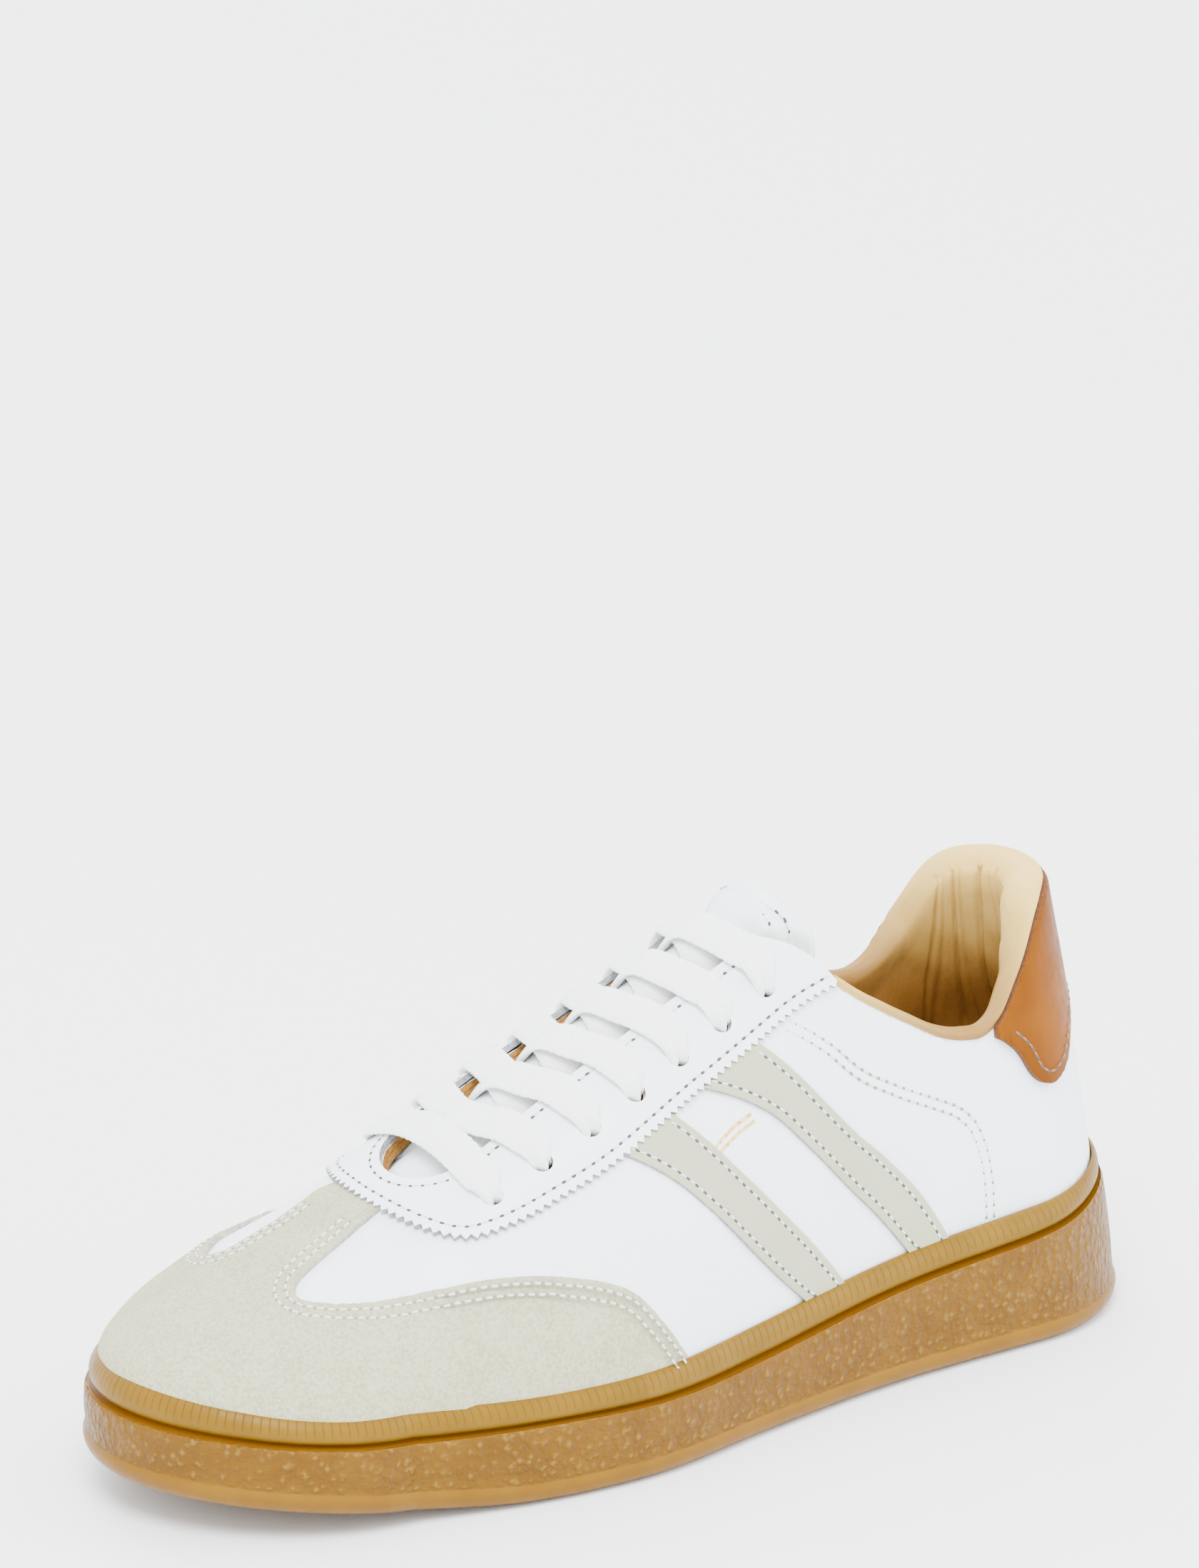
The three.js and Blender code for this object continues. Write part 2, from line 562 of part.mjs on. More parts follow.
// Two plain parallel bands on both sides, in the side view, from just short of the eyestay to the rand.
const REAR_STRIPE_FRONT = [[6, 79.5], [13, 76.5], [21.5, 70.8], [29, 62.9], [39, 51.5], [49, 40.8],
  [57.5, 28]];
const REAR_STRIPE_BACK = [[22.5, 85.8], [27, 81.5], [36, 71], [43.5, 62.5], [51.5, 54.8], [61.5, 43.7],
  [69.5, 29]];
const FRONT_STRIPE_FRONT = [[-20, 70.2], [-14.5, 67], [-9, 62.6], [-3.5, 57], [6, 46.5], [15.5, 36],
  [24.5, 25]];
const FRONT_STRIPE_BACK = [[-5, 75.9], [0.5, 70.5], [8, 62], [14.5, 54.8], [20.5, 48], [29, 38.5],
  [37, 26]];

function stripe(side, edgeA, edgeB) {
  const drop = side < 0 ? 0 : 1;
  const place = ([x, z]) => atHeight(side, x, Math.max(z - drop, randTop(station(side, x)) + OVERLAY_RISE));
  return panel(edgeA.map(place), edgeB.map(place), 8, 1, OVERLAY);
}

function heelTab() {
  const stations = around([88.5, 92, HEEL_PIVOT, 100, ...HEEL_STEPS]);
  return sheet(stations.length - 1, 3, (i, j, layer) => {
    const s = stations[i];
    const z = lerp(curve(TAB_LOWER_Z, s.u), curve(TOPLINE_Z, s.u) - GAP, j / 3);
    return onSkin(toPattern(s, shareAtHeight(s, z)), HEEL_LEATHER[layer]);
  });
}

// ---- tongue -------------------------------------------------------------------------------------------
// The tongue lies under the laces and rises through the throat at its free end.
const TONGUE_BASE = -66;
const TONGUE_HALF = [[-66, 12], [-56, 16], [-20, 17.5], [12, 16], [24, 15], [32, 15.5], [40, 17]];
const TONGUE_SIDE_DEPTH = [-7, -3.8];
const TONGUE_CREST_DEPTH = [-5.3, -0.5];
const TONGUE_END = 36.5;
const TONGUE_END_FLARE = 10;

function tongueLift(p, axis) {
  const crest = clamp(1 - ((p[1] - axis) / 9) ** 2, 0, 1);
  const side = lerp(...TONGUE_SIDE_DEPTH, ease((p[0] - 32) / 8));
  const top = lerp(...TONGUE_CREST_DEPTH, ease((p[0] - 24) / 12));
  return lerp(side, top, crest * ease((p[0] + 62) / 12));
}

function tongueLayer(depth, trim) {
  const columns = 13;
  const rows = 6;
  return sheet(columns, rows, (i, j, layer) => {
    const across = lerp(-1, 1, j / rows);
    const end = TONGUE_END - trim + TONGUE_END_FLARE * across * across * (1 - 0.35 * across ** 4);
    const x = lerp(TONGUE_BASE + trim, end, i / columns);
    const round = Math.sqrt(Math.max(0, 1 - ease((i / columns - 0.86) / 0.14) ** 2 * 0.28));
    const p = plan(x, THROAT_Y + across * (curve(TONGUE_HALF, x) - trim) * round);
    return onSkin(p, tongueLift(p, THROAT_Y) + depth[layer]);
  });
}

// ---- shoelace -----------------------------------------------------------------------------------------
// Flat lace drawn as a round cord of the same section; every eyelet is entered from above.
// Lifts from the skin where the cord lies over the eyestay, under it, and at the crossings.
const OVER = 3.8;
const UNDER = -4.9;
const CROSS_OVER = 2.9;
const CROSS_UNDER = -1.1;

function eyeletTurn(side, n) {
  const [x, y] = plan(EYELET_X[n], THROAT_Y + side * eyeletHalf(side, EYELET_X[n]));
  return [
    onSkin([x, y - side * 1.1], OVER),
    onSkin([x, y + side * 0.4], -0.6),
    onSkin([x, y - side * 1.1], UNDER),
  ];
}

function crossing(side, n) {
  const x = EYELET_X[n];
  const next = EYELET_X[n + 1];
  const middle = side < 0 ? CROSS_UNDER : CROSS_OVER;
  const points = [
    [lerp(x, next, 0.26), 10.8, UNDER],
    [lerp(x, next, 0.38), 6.5, -2.6],
    [lerp(x, next, 0.52), 0, middle],
    [lerp(x, next, 0.68), -9.5, OVER],
  ];
  return points.map(([px, across, lift]) => onSkin(plan(px, THROAT_Y + side * across), lift));
}

// From eyelet 1 of one side up to eyelet 7, then the loose end tucked down inside the shoe.
function laceHalf(start) {
  let side = start;
  const route = [];
  for (let n = 0; n < EYELET_X.length; n += 1) {
    route.push(...eyeletTurn(side, n));
    if (n < EYELET_X.length - 1) {
      route.push(...crossing(side, n));
      side = -side;
    }
  }
  return { route, side };
}

// Loose end inside the shoe: station, height and lift from the skin.
const TAIL = [[29.5, 89, -5.9], [32, 80, -6.4], [34, 68, -6.6], [33, 56, -7.2], [24, 47, -9.5],
  [10, 41, -11]];

function lacePoints() {
  const ends = [laceHalf(-1), laceHalf(1)].map(({ route, side }) => [
    ...route,
    ...TAIL.map(([x, z, lift]) => onSkin(atHeight(side, x, z), lift)),
  ]);
  const bar = [-12, 0, 12].map((y) => onSkin(plan(EYELET_X[0], THROAT_Y + y), OVER));
  return [...ends[0].reverse(), ...bar, ...ends[1]];
}

// A path whose steps are exactly the given points, so that tight turns keep their own spacing.
class PointPath extends THREE.Curve {
  constructor(points) {
    super();
    this.points = points;
  }

  getSpacedPoints() {
    return this.points;
  }

  getPoint(t) {
    const place = t * (this.points.length - 1);
    const i = Math.min(this.points.length - 2, Math.floor(place));
    return this.points[i].clone().lerp(this.points[i + 1], place - i);
  }

  getTangentAt(t) {
    const i = Math.round(t * (this.points.length - 1));
    const after = this.points[Math.min(this.points.length - 1, i + 1)];
    const before = this.points[Math.max(0, i - 1)];
    return after.clone().sub(before).normalize();
  }
}

function cord(points, radius) {
  const section = new THREE.Shape();
  const sides = 8;
  for (let k = 0; k < sides; k += 1) {
    const a = 2 * Math.PI * k / sides;
    const corner = [radius * Math.cos(a), radius * Math.sin(a)];
    if (k === 0) section.moveTo(...corner);
    else section.lineTo(...corner);
  }
  section.closePath();
  const options = { steps: points.length - 1, extrudePath: new PointPath(points), curveSegments: 1 };
  const raw = new THREE.ExtrudeGeometry(section, options);
  const position = raw.attributes.position;
  const corners = Array.from({ length: position.count }, (_, k) => new THREE.Vector3()
    .fromBufferAttribute(position, k));
  const faces = Array.from({ length: corners.length / 3 }, (_, k) => [3 * k, 3 * k + 1, 3 * k + 2]);
  return closedGeometry(corners, faces);
}

const AGLET_LENGTH = 20;

function aglet(tip, before) {
  const direction = tip.clone().sub(before).normalize();
  const start = tip.clone().addScaledVector(direction, GAP);
  const steps = [0, 0.5, 1].map((t) => start.clone().addScaledVector(direction, AGLET_LENGTH * t));
  return cord(steps, LACE_RADIUS);
}

// ---- assembly -----------------------------------------------------------------------------------------
const MATERIALS = {
  white_leather: [0xf1f3f5, 0.45],
  suede: [0xcbc4b2, 0.95],
  stripe_leather: [0xdad6c8, 0.5],
  backing: [0xb9824a, 0.8],
  tan_leather: [0xb8651c, 0.3],
  lining: [0xd9b98a, 0.7],
  lining_brown: [0xa9713a, 0.75],
  foam: [0xe8e2c8, 0.95],
  stiffener: [0xcfc9ba, 0.85],
  gum_rubber: [0xc08a45, 0.5],
  board: [0xb59d78, 0.9],
  lace: [0xf7f7f5, 0.9],
  aglet: [0xf2f2f0, 0.3],
};

const shoe = new THREE.Group();
shoe.position.set(...CENTRE);

function add(name, geometry, slot) {
  const [color, roughness] = MATERIALS[slot];
  const mesh = new THREE.Mesh(geometry, new THREE.MeshStandardMaterial({ color, roughness, metalness: 0 }));
  mesh.name = name;
  shoe.add(mesh);
}

const holes = eyelets();
add('cupsole', cupsole(), 'gum_rubber');
add('midsole_foam', midsoleFoam(), 'foam');
add('insole_board', insoleBoard(), 'board');
add('sockliner', sockliner(), 'lining_brown');
for (const [side, label] of [[-1, 'lateral'], [1, 'medial']]) {
  add(`quarter_${label}`, punched(quarter(side), holes), 'white_leather');
  add(`vamp_lining_${label}`, vampLining(side), 'lining');
  add(`stripe_rear_${label}`, stripe(side, REAR_STRIPE_FRONT, REAR_STRIPE_BACK), 'stripe_leather');
  add(`stripe_front_${label}`, stripe(side, FRONT_STRIPE_FRONT, FRONT_STRIPE_BACK), 'stripe_leather');
}
add('toe_cap', toeCap(), 'suede');
add('toe_puff', toePuff(), 'stiffener');
add('eyestay', punched(eyestay(), holes), 'white_leather');
add('eyestay_backing', punched(eyestayBacking(), holes), 'backing');
add('quarter_lining', quarterLining(), 'lining_brown');
add('heel_counter', heelCounter(), 'stiffener');
add('collar_foam', collarFoam(), 'foam');
add('collar_lining', collarLining(), 'lining');
add('heel_tab', heelTab(), 'tan_leather');
add('tongue_shell', tongueLayer([-1.2, 0], 0), 'white_leather');
add('tongue_foam', tongueLayer([-4.6, -1.8], 1), 'foam');
add('tongue_lining', tongueLayer([-6.1, -5.2], 0), 'lining');
const lace = lacePoints();
add('shoelace', cord(lace, LACE_RADIUS), 'lace');
add('aglet_lateral', aglet(lace[0], lace[1]), 'aglet');
add('aglet_medial', aglet(lace.at(-1), lace.at(-2)), 'aglet');

export default shoe;
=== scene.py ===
"""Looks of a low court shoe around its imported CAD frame.

The code works in millimetres on the shoe's own layout: a skin surface laid out on a flat pattern plane, as in
the CAD source, and pieces cut and sewn on that skin. A pattern point is a point of that plane. A side is
-1 on the outer side and 1 on the inner side. A lift is a height above the skin."""

import bmesh
import bpy
import numpy as np
from mathutils import Matrix, Vector
from mathutils.geometry import delaunay_2d_cdt
from mathutils.kdtree import KDTree


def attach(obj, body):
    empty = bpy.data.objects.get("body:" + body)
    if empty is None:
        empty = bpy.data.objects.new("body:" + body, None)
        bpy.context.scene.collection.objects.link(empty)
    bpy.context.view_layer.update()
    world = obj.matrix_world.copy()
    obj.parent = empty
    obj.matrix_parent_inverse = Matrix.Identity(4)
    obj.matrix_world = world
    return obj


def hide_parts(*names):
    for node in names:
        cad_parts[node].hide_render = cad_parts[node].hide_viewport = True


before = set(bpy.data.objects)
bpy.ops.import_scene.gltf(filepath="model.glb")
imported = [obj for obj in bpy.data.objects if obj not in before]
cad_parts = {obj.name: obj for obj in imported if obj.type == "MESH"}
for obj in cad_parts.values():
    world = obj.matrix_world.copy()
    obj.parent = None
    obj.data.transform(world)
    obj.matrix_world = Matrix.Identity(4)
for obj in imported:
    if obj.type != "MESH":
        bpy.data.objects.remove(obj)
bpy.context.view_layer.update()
RNG = np.random.default_rng(7)
MM = 0.001

# ---- layout shared with the CAD source, in millimetres
CENTRE = np.array([1.1, -2.1, 0.0])
TOE_PIVOT, HEEL_PIVOT, TOE_TIP, HEEL_BACK = -87.0, 97.0, -147.0, 137.0
SPINE_Y = [[-87, 7.5], [-50, 4.8], [-20, 3], [30, 2], [97, 0]]
TOE_RADIUS = [[-90, 47], [-45, 49], [0, 52], [45, 47], [90, 46.5]]
HEEL_RADIUS = [[-90, 38.6], [-45, 38.6], [0, 39.8], [45, 38.6], [90, 38.2]]
OUTER_RADIUS = [[-87, 47], [-56, 52], [-28, 53], [10, 46.2], [51, 40.2], [97, 38.6]]
INNER_RADIUS = [[-87, 46.5], [-56, 44], [-28, 41], [10, 36.5], [51, 35.8], [97, 38.2]]
SOLE_BOTTOM = [[-140, 9.8], [-112, 6.8], [-84, 2.8], [-60, 0.4], [-48, 0], [140, 0]]
GROOVE_Z = [[-140, 25.4], [-112, 22.4], [-84, 19.7], [-56, 18.8], [0, 18.1], [56, 23.4], [112, 28],
            [140, 31]]
RAND_Z = [[-140, 33.8], [-112, 28.9], [-84, 26.7], [-56, 25.1], [0, 25.9], [56, 30.7], [112, 34.3],
          [140, 36.8]]
RIDGE_Z = [[-140, 43], [-124, 44.5], [-107, 47.5], [-87, 54], [-60, 68], [-30, 83], [0, 97], [30, 112],
           [60, 134], [90, 154], [140, 160]]
ROUNDNESS = [[-140, 2], [-87, 2], [-50, 1.8], [0, 1.7], [30, 1.6], [60, 1.3], [90, 1], [140, 1]]
UPPER_INSET = [[-147, 5.5], [55, 5.5], [97, 6.5], [137, 6.5]]
# Above its counter the heel leans forwards: by how much, from which height and over which rise.
HEEL_LEAN, HEEL_LEAN_START, HEEL_LEAN_RISE = 2.4, 52, 26
HEEL_LEAN_STATION, HEEL_LEAN_STATIONS = 80, 38
HEEL_TOP = 104.5
TOPLINE_Z = [[45, 96], [50, 92], [56, 88], [65, 82.5], [72, 78.5], [79, 76.3], [85, 76], [91, 79.5],
             [96, 86], [100.6, 92], [106, 98], [113, 102], [125, 104], [137, 104.5]]
TAB_LOWER_Z = [[88, 74.5], [92, 72], [95, 69], [98, 63.5], [102.6, 60.3], [106, 61], [110, 63.5],
               [115, 68], [124, 73], [137, 75]]
LINING_SEAM_Z = [[46, 80], [60, 66], [75, 58], [137, 60]]
THROAT_Y, THROAT_FRONT, THROAT_HALF, THROAT_ROUND = 2.4, -63.5, 12.3, 13.5
FACING_INNER_END, FACING_END = 30.0, 45.0
EYESTAY_STATIONS = [45, 31.5, 4.5, -23.5, -37.5, -51, -61.5, -68, -70.5]
EYESTAY_OUTER = {-1: [22.8, 23, 26, 29.8, 29.4, 27.7, 24, 14.5, 0],
                 1: [18.1, 18.4, 20.1, 23.7, 24.8, 26.2, 24, 14.5, 0]}
EYELET_X = [-51.5, -38.4, -25.3, -12.2, 0.9, 14, 27.1]
EYELET_SHARE = 0.62
EYELET_RADIUS = 2.55
# Lifts of the underside and of the face of each sewn layer.
QUARTER, TOE_CAP, BAND = (-1.4, 0.0), (0.05, 1.55), (0.03, 1.15)
EYESTAY, BACKING, TAB = (0.35, 1.75), (-3.1, -1.5), (0.03, 2.1)
LINING = (-4.3, -3.5)


# ---- smooth curves and the skin
def hermite(t, a, slope_a, b, slope_b):
    return ((2 * t**3 - 3 * t**2 + 1) * a + (t**3 - 2 * t**2 + t) * slope_a
            + (3 * t**2 - 2 * t**3) * b + (t**3 - t**2) * slope_b)


def curve(knots, x):
    """Cubic through the knots with averaged slopes, flat beyond both ends."""
    xs, ys = np.array(knots, float).T
    x = np.clip(x, xs[0], xs[-1])
    h = np.diff(xs)
    d = np.diff(ys) / h
    m = np.concatenate([[d[0]], (d[:-1] * h[1:] + d[1:] * h[:-1]) / (h[1:] + h[:-1]), [d[-1]]])
    i = np.clip(np.searchsorted(xs, x, side="right") - 1, 0, len(xs) - 2)
    t = (x - xs[i]) / h[i]
    return hermite(t, ys[i], h[i] * m[i], ys[i + 1], h[i] * m[i + 1])


def ease(t):
    """Smooth step from 0 to 1."""
    t = np.clip(t, 0, 1)
    return t * t * (3 - 2 * t)


class Ribs:
    """Ribs of the skin: foot on the spine, direction outwards, radius of the sole and station."""

    def __init__(self, side, u):
        self.side, self.u = np.broadcast_arrays(np.asarray(side, float), np.asarray(u, float))
        toe, heel = self.u < TOE_PIVOT, self.u > HEEL_PIVOT
        share = np.where(toe, (TOE_PIVOT - self.u) / (TOE_PIVOT - TOE_TIP),
                         (self.u - HEEL_PIVOT) / (HEEL_BACK - HEEL_PIVOT))
        angle = np.where(toe | heel, 90 * (1 - share), 90)
        self.x = np.clip(self.u, TOE_PIVOT, HEEL_PIVOT)
        self.y = curve(SPINE_Y, self.x)
        self.dx = np.where(toe, -1, 1) * np.where(toe | heel, np.cos(np.radians(angle)), 0)
        self.dy = self.side * np.sin(np.radians(angle))
        middle = np.where(self.side < 0, curve(OUTER_RADIUS, self.x), curve(INNER_RADIUS, self.x))
        self.radius = np.where(toe, curve(TOE_RADIUS, self.side * angle),
                               np.where(heel, curve(HEEL_RADIUS, self.side * angle), middle))
        self.upper = self.radius - curve(UPPER_INSET, self.u)
        self.rand = curve(RAND_Z, self.x + self.dx * self.radius)

    def point(self, t):
        """Skin point at share t: 0 at the ridge, 1 at the feather line, straight down beyond."""
        c = np.clip(t, 0, 1)
        rise = np.sin(np.pi / 2 * (1 - c))
        power = curve(ROUNDNESS, self.x + self.dx * self.upper * c)
        reach = self.upper * np.sqrt(np.maximum(0, 1 - rise**power))
        x = self.x + self.dx * reach
        z0 = self.rand - 1
        z = z0 + (curve(RIDGE_Z, x) - z0) * rise - np.maximum(0, t - 1) * self.upper
        on_heel = ease((self.u - HEEL_LEAN_STATION) / HEEL_LEAN_STATIONS)
        lean = HEEL_LEAN * ease((z - HEEL_LEAN_START) / HEEL_LEAN_RISE) * on_heel
        return np.stack([x - lean, self.y + self.dy * reach, z], -1)

    def pattern(self, t):
        return np.stack([self.x + self.dx * self.upper * t, self.y + self.dy * self.upper * t], -1)

    def share(self, value, target):
        """Share at which value(point) reaches the target, by halving."""
        lo, hi = np.zeros_like(self.u, float), np.ones_like(self.u, float)
        rising = value(self.point(hi)) > value(self.point(lo))
        for _ in range(36):
            mid = (lo + hi) / 2
            low = (value(self.point(mid)) < target) == rising
            lo, hi = np.where(low, mid, lo), np.where(low, hi, mid)
        return (lo + hi) / 2

    def at_height(self, z):
        return self.share(lambda p: p[..., 2], z)


def ribs_through(p):
    """Ribs that pass over points of the plan or of the pattern."""
    x, y = p[..., 0], p[..., 1]
    foot = np.clip(x, TOE_PIVOT, HEEL_PIVOT)
    spine = curve(SPINE_Y, foot)
    side = np.where(y < spine, -1.0, 1.0)
    share = 1 - np.degrees(np.arctan2(np.abs(y - spine), np.abs(x - foot))) / 90
    u = np.where(x < TOE_PIVOT, TOE_PIVOT + (TOE_TIP - TOE_PIVOT) * share,
                 np.where(x > HEEL_PIVOT, HEEL_PIVOT + (HEEL_BACK - HEEL_PIVOT) * share, x))
    return Ribs(side, u)


def skin(p):
    """Skin points over pattern points."""
    p = np.asarray(p, float)
    r = ribs_through(p)
    return r.point(np.hypot(p[..., 0] - r.x, p[..., 1] - r.y) / r.upper)


def slopes(p):
    """How the skin point moves with each of the two pattern directions."""
    step = 0.25
    p = np.asarray(p, float)
    ex, ey = np.array([step, 0]), np.array([0, step])
    return (skin(p + ex) - skin(p - ex)) / (2 * step), (skin(p + ey) - skin(p - ey)) / (2 * step)


def unit(v):
    return v / np.maximum(np.linalg.norm(v, axis=-1, keepdims=True), 1e-9)


def skin_normal(p):
    a, b = slopes(p)
    return unit(np.cross(a, b))


def on_skin(p, lift):
    lift = np.broadcast_to(np.asarray(lift, float), np.shape(p)[:-1])
    return skin(p) + skin_normal(p) * lift[..., None]


def plan(points):
    """Pattern points under points of the plan."""
    p = np.asarray(points, float)
    r = ribs_through(p)
    target = np.hypot(p[..., 0] - r.x, p[..., 1] - r.y)
    return r.pattern(r.share(lambda q: np.hypot(q[..., 0] - r.x, q[..., 1] - r.y), target))


def at_height(side, points):
    """Pattern points beside [station, height] points of the side view; the lowest end just above the rand."""
    u, z = np.array(points, float).T
    r = Ribs(side, u)
    return r.pattern(r.at_height(np.maximum(z, r.rand - 0.6)))


def smooth(points, per=12, closed=False):
    """Centripetal Catmull-Rom curve through the points."""
    p = np.asarray(points, float)
    n = len(p)
    if closed:
        q = np.vstack([p[-1:], p, p[:2]])
    else:
        q = np.vstack([2 * p[:1] - p[1:2], p, 2 * p[-1:] - p[-2:-1]])
    out = []
    for k in range(n if closed else n - 1):
        a, b, c, d = q[k:k + 4]
        ta, tb, tc = (max(np.linalg.norm(v), 1e-4) ** 0.5 for v in (b - a, c - b, d - c))
        t = np.linspace(0, 1, per, endpoint=False)[:, None]
        m1 = tb * ((b - a) / ta - (c - a) / (ta + tb)) + (c - b)
        m2 = tb * ((d - c) / tc - (d - b) / (tb + tc)) + (c - b)
        out.append(hermite(t, b, m1, c, m2))
    if not closed:
        out.append(p[-1:])
    return np.vstack(out)


def run(points):
    """Length along a row of points, from its start to each point."""
    return np.concatenate([[0], np.cumsum(np.linalg.norm(np.diff(points, axis=0), axis=1))])


def at_lengths(at, s, points):
    """Points at lengths along a row of points."""
    return np.stack([np.interp(at, s, column) for column in points.T], -1)


def even(path, pitch, closed=False):
    """The same pattern path with points at one true spacing on the skin."""
    path = np.vstack([path, path[:1]]) if closed else path
    s = run(skin(path))
    n = max(2, int(round(s[-1] / pitch)) + (0 if closed else 1))
    return at_lengths(np.linspace(0, s[-1], n, endpoint=not closed), s, path)


def beside(path, distance, closed=False):
    """Pattern path moved sideways on the skin by a true distance, to the left of its direction."""
    q = skin(path)
    if closed:
        tangent = unit(np.roll(q, -1, 0) - np.roll(q, 1, 0))
    else:
        tangent = unit(np.gradient(q, axis=0))
    a, b = slopes(path)
    move = np.cross(unit(np.cross(a, b)), tangent) * np.asarray(distance, float).reshape(-1, 1)
    aa, ab, bb = (a * a).sum(-1), (a * b).sum(-1), (b * b).sum(-1)
    ma, mb = (a * move).sum(-1), (b * move).sum(-1)
    det = np.maximum(aa * bb - ab * ab, 1e-6)
    return path + np.stack([(bb * ma - ab * mb) / det, (aa * mb - ab * ma) / det], -1)


# ---- meshes
def to_object(name, points, faces, materials, body="shoe", slots=None, sharp=38, flat=None, merge=False):
    """One piece that rides on a body; slots, a flat map and merged points are optional."""
    mesh = bpy.data.meshes.new(name)
    placed = (np.asarray(points) + CENTRE) * MM
    mesh.from_pydata(placed.tolist(), [], [tuple(int(k) for k in f) for f in faces])
    for m in materials:
        mesh.materials.append(m)
    if slots is not None:
        mesh.polygons.foreach_set("material_index", np.asarray(slots, np.int32))
    if flat is not None:
        layer = mesh.uv_layers.new(name="flat")
        index = np.empty(len(mesh.loops), np.int32)
        mesh.loops.foreach_get("vertex_index", index)
        layer.data.foreach_set("uv", np.asarray(flat, np.float32)[index].ravel())
    if merge:
        bm = bmesh.new()
        bm.from_mesh(mesh)
        bmesh.ops.remove_doubles(bm, verts=bm.verts, dist=2e-6)
        bmesh.ops.dissolve_degenerate(bm, edges=bm.edges, dist=1e-6)
        bm.to_mesh(mesh)
        bm.free()
    mesh.update()
    mesh.shade_smooth()
    mesh.set_sharp_from_angle(angle=np.radians(sharp))
    piece = bpy.data.objects.new(name, mesh)
    bpy.context.scene.collection.objects.link(piece)
    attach(piece, body)
    return piece


def grid_faces(columns, rows, wrap=False, flip=False):
    """Faces of a grid whose points run down each column in turn."""
    i, j = np.meshgrid(np.arange(columns if wrap else columns - 1), np.arange(rows - 1), indexing="ij")
    a = i * rows + j
    b = ((i + 1) % columns) * rows + j
    f = np.stack([a, b, b + 1, a + 1], -1).reshape(-1, 4)
    return f[:, ::-1] if flip else f


def inside(points, outline):
    """Which flat points lie inside a closed outline."""
    x, y = points[:, 0:1], points[:, 1:2]
    a, b = outline, np.roll(outline, -1, 0)
    crossing = (a[:, 1] > y) != (b[:, 1] > y)
    with np.errstate(divide="ignore", invalid="ignore"):
        at = (b[:, 0] - a[:, 0]) * (y - a[:, 1]) / (b[:, 1] - a[:, 1]) + a[:, 0]
    return (np.sum(crossing & (x < at), 1) % 2) == 1


def nearest(points, cloud):
    """Distance from each point to the nearest point of a cloud."""
    tree = KDTree(len(cloud))
    for k, c in enumerate(cloud):
        tree.insert(c, k)
    tree.balance()
    return np.array([tree.find(p)[2] for p in points])


def hills(points, size, seed):
    """Smooth seeded noise of about plus or minus one, with features of the given size."""
    rng = np.random.default_rng(seed)
    total = np.zeros(len(points))
    for k in range(2):
        for _ in range(7):
            wave = unit(rng.normal(size=3)) * 2 * np.pi / (size * 0.6**k) * rng.uniform(0.7, 1.3)
            total += np.sin(points @ wave + rng.uniform(0, 6.3)) * 0.5**k
    return total / 4.5


def filled(outline, holes, spacing, edge):
    """Pattern points and faces inside an outline and around its holes, with two rings along the edge."""
    loops = [outline, *holes]
    low, high = outline.min(0), outline.max(0)
    gx = np.arange(low[0], high[0], spacing)
    gy = np.arange(low[1], high[1], spacing * 0.87)
    grid = np.array([[x + (k % 2) * spacing / 2, y] for k, y in enumerate(gy) for x in gx])
    grid = grid[inside(grid, outline)]
    for hole in holes:
        grid = grid[~inside(grid, hole)]
    border = np.vstack([np.vstack([loop, (loop + np.roll(loop, -1, 0)) / 2]) for loop in loops])
    gap = nearest([(*g, 0) for g in grid], [(*b, 0) for b in border])
    grid = grid[gap > spacing * 0.55]
    after = np.roll(outline, -1, 0)
    area = 0.5 * np.sum(outline[:, 0] * after[:, 1] - after[:, 0] * outline[:, 1])
    rings = []
    if edge > 0:
        every = 2 if len(outline) > 300 else 1
        for away in (0.35 * edge, edge):
            rings.append(beside(outline, away if area > 0 else -away, closed=True)[::every])
        rings = [r[inside(r, outline)] for r in rings]
        ring_gap = [nearest([(*g, 0) for g in r], [(*b, 0) for b in outline]) for r in rings]
        rings = [r[g > 0.1] for r, g in zip(rings, ring_gap)]
    edges, start = [], 0
    for loop in loops:
        n = len(loop)
        edges += [(start + k, start + (k + 1) % n) for k in range(n)]
        start += n
    flat = np.vstack([*loops, *rings, grid])
    verts, _, tris, *_ = delaunay_2d_cdt([Vector(v) for v in flat], edges, [], 0, 1e-4)
    flat = np.array([tuple(v) for v in verts])
    tris = np.array([t for t in tris], int)
    middle = flat[tris].mean(1)
    keep = inside(middle, outline)
    for hole in holes:
        keep &= ~inside(middle, hole)
    tris = tris[keep]
    a, b, c = flat[tris[:, 0]], flat[tris[:, 1]], flat[tris[:, 2]]
    turn = (b[:, 0] - a[:, 0]) * (c[:, 1] - a[:, 1]) - (b[:, 1] - a[:, 1]) * (c[:, 0] - a[:, 0])
    return flat, np.where((turn < 0)[:, None], tris[:, ::-1], tris)


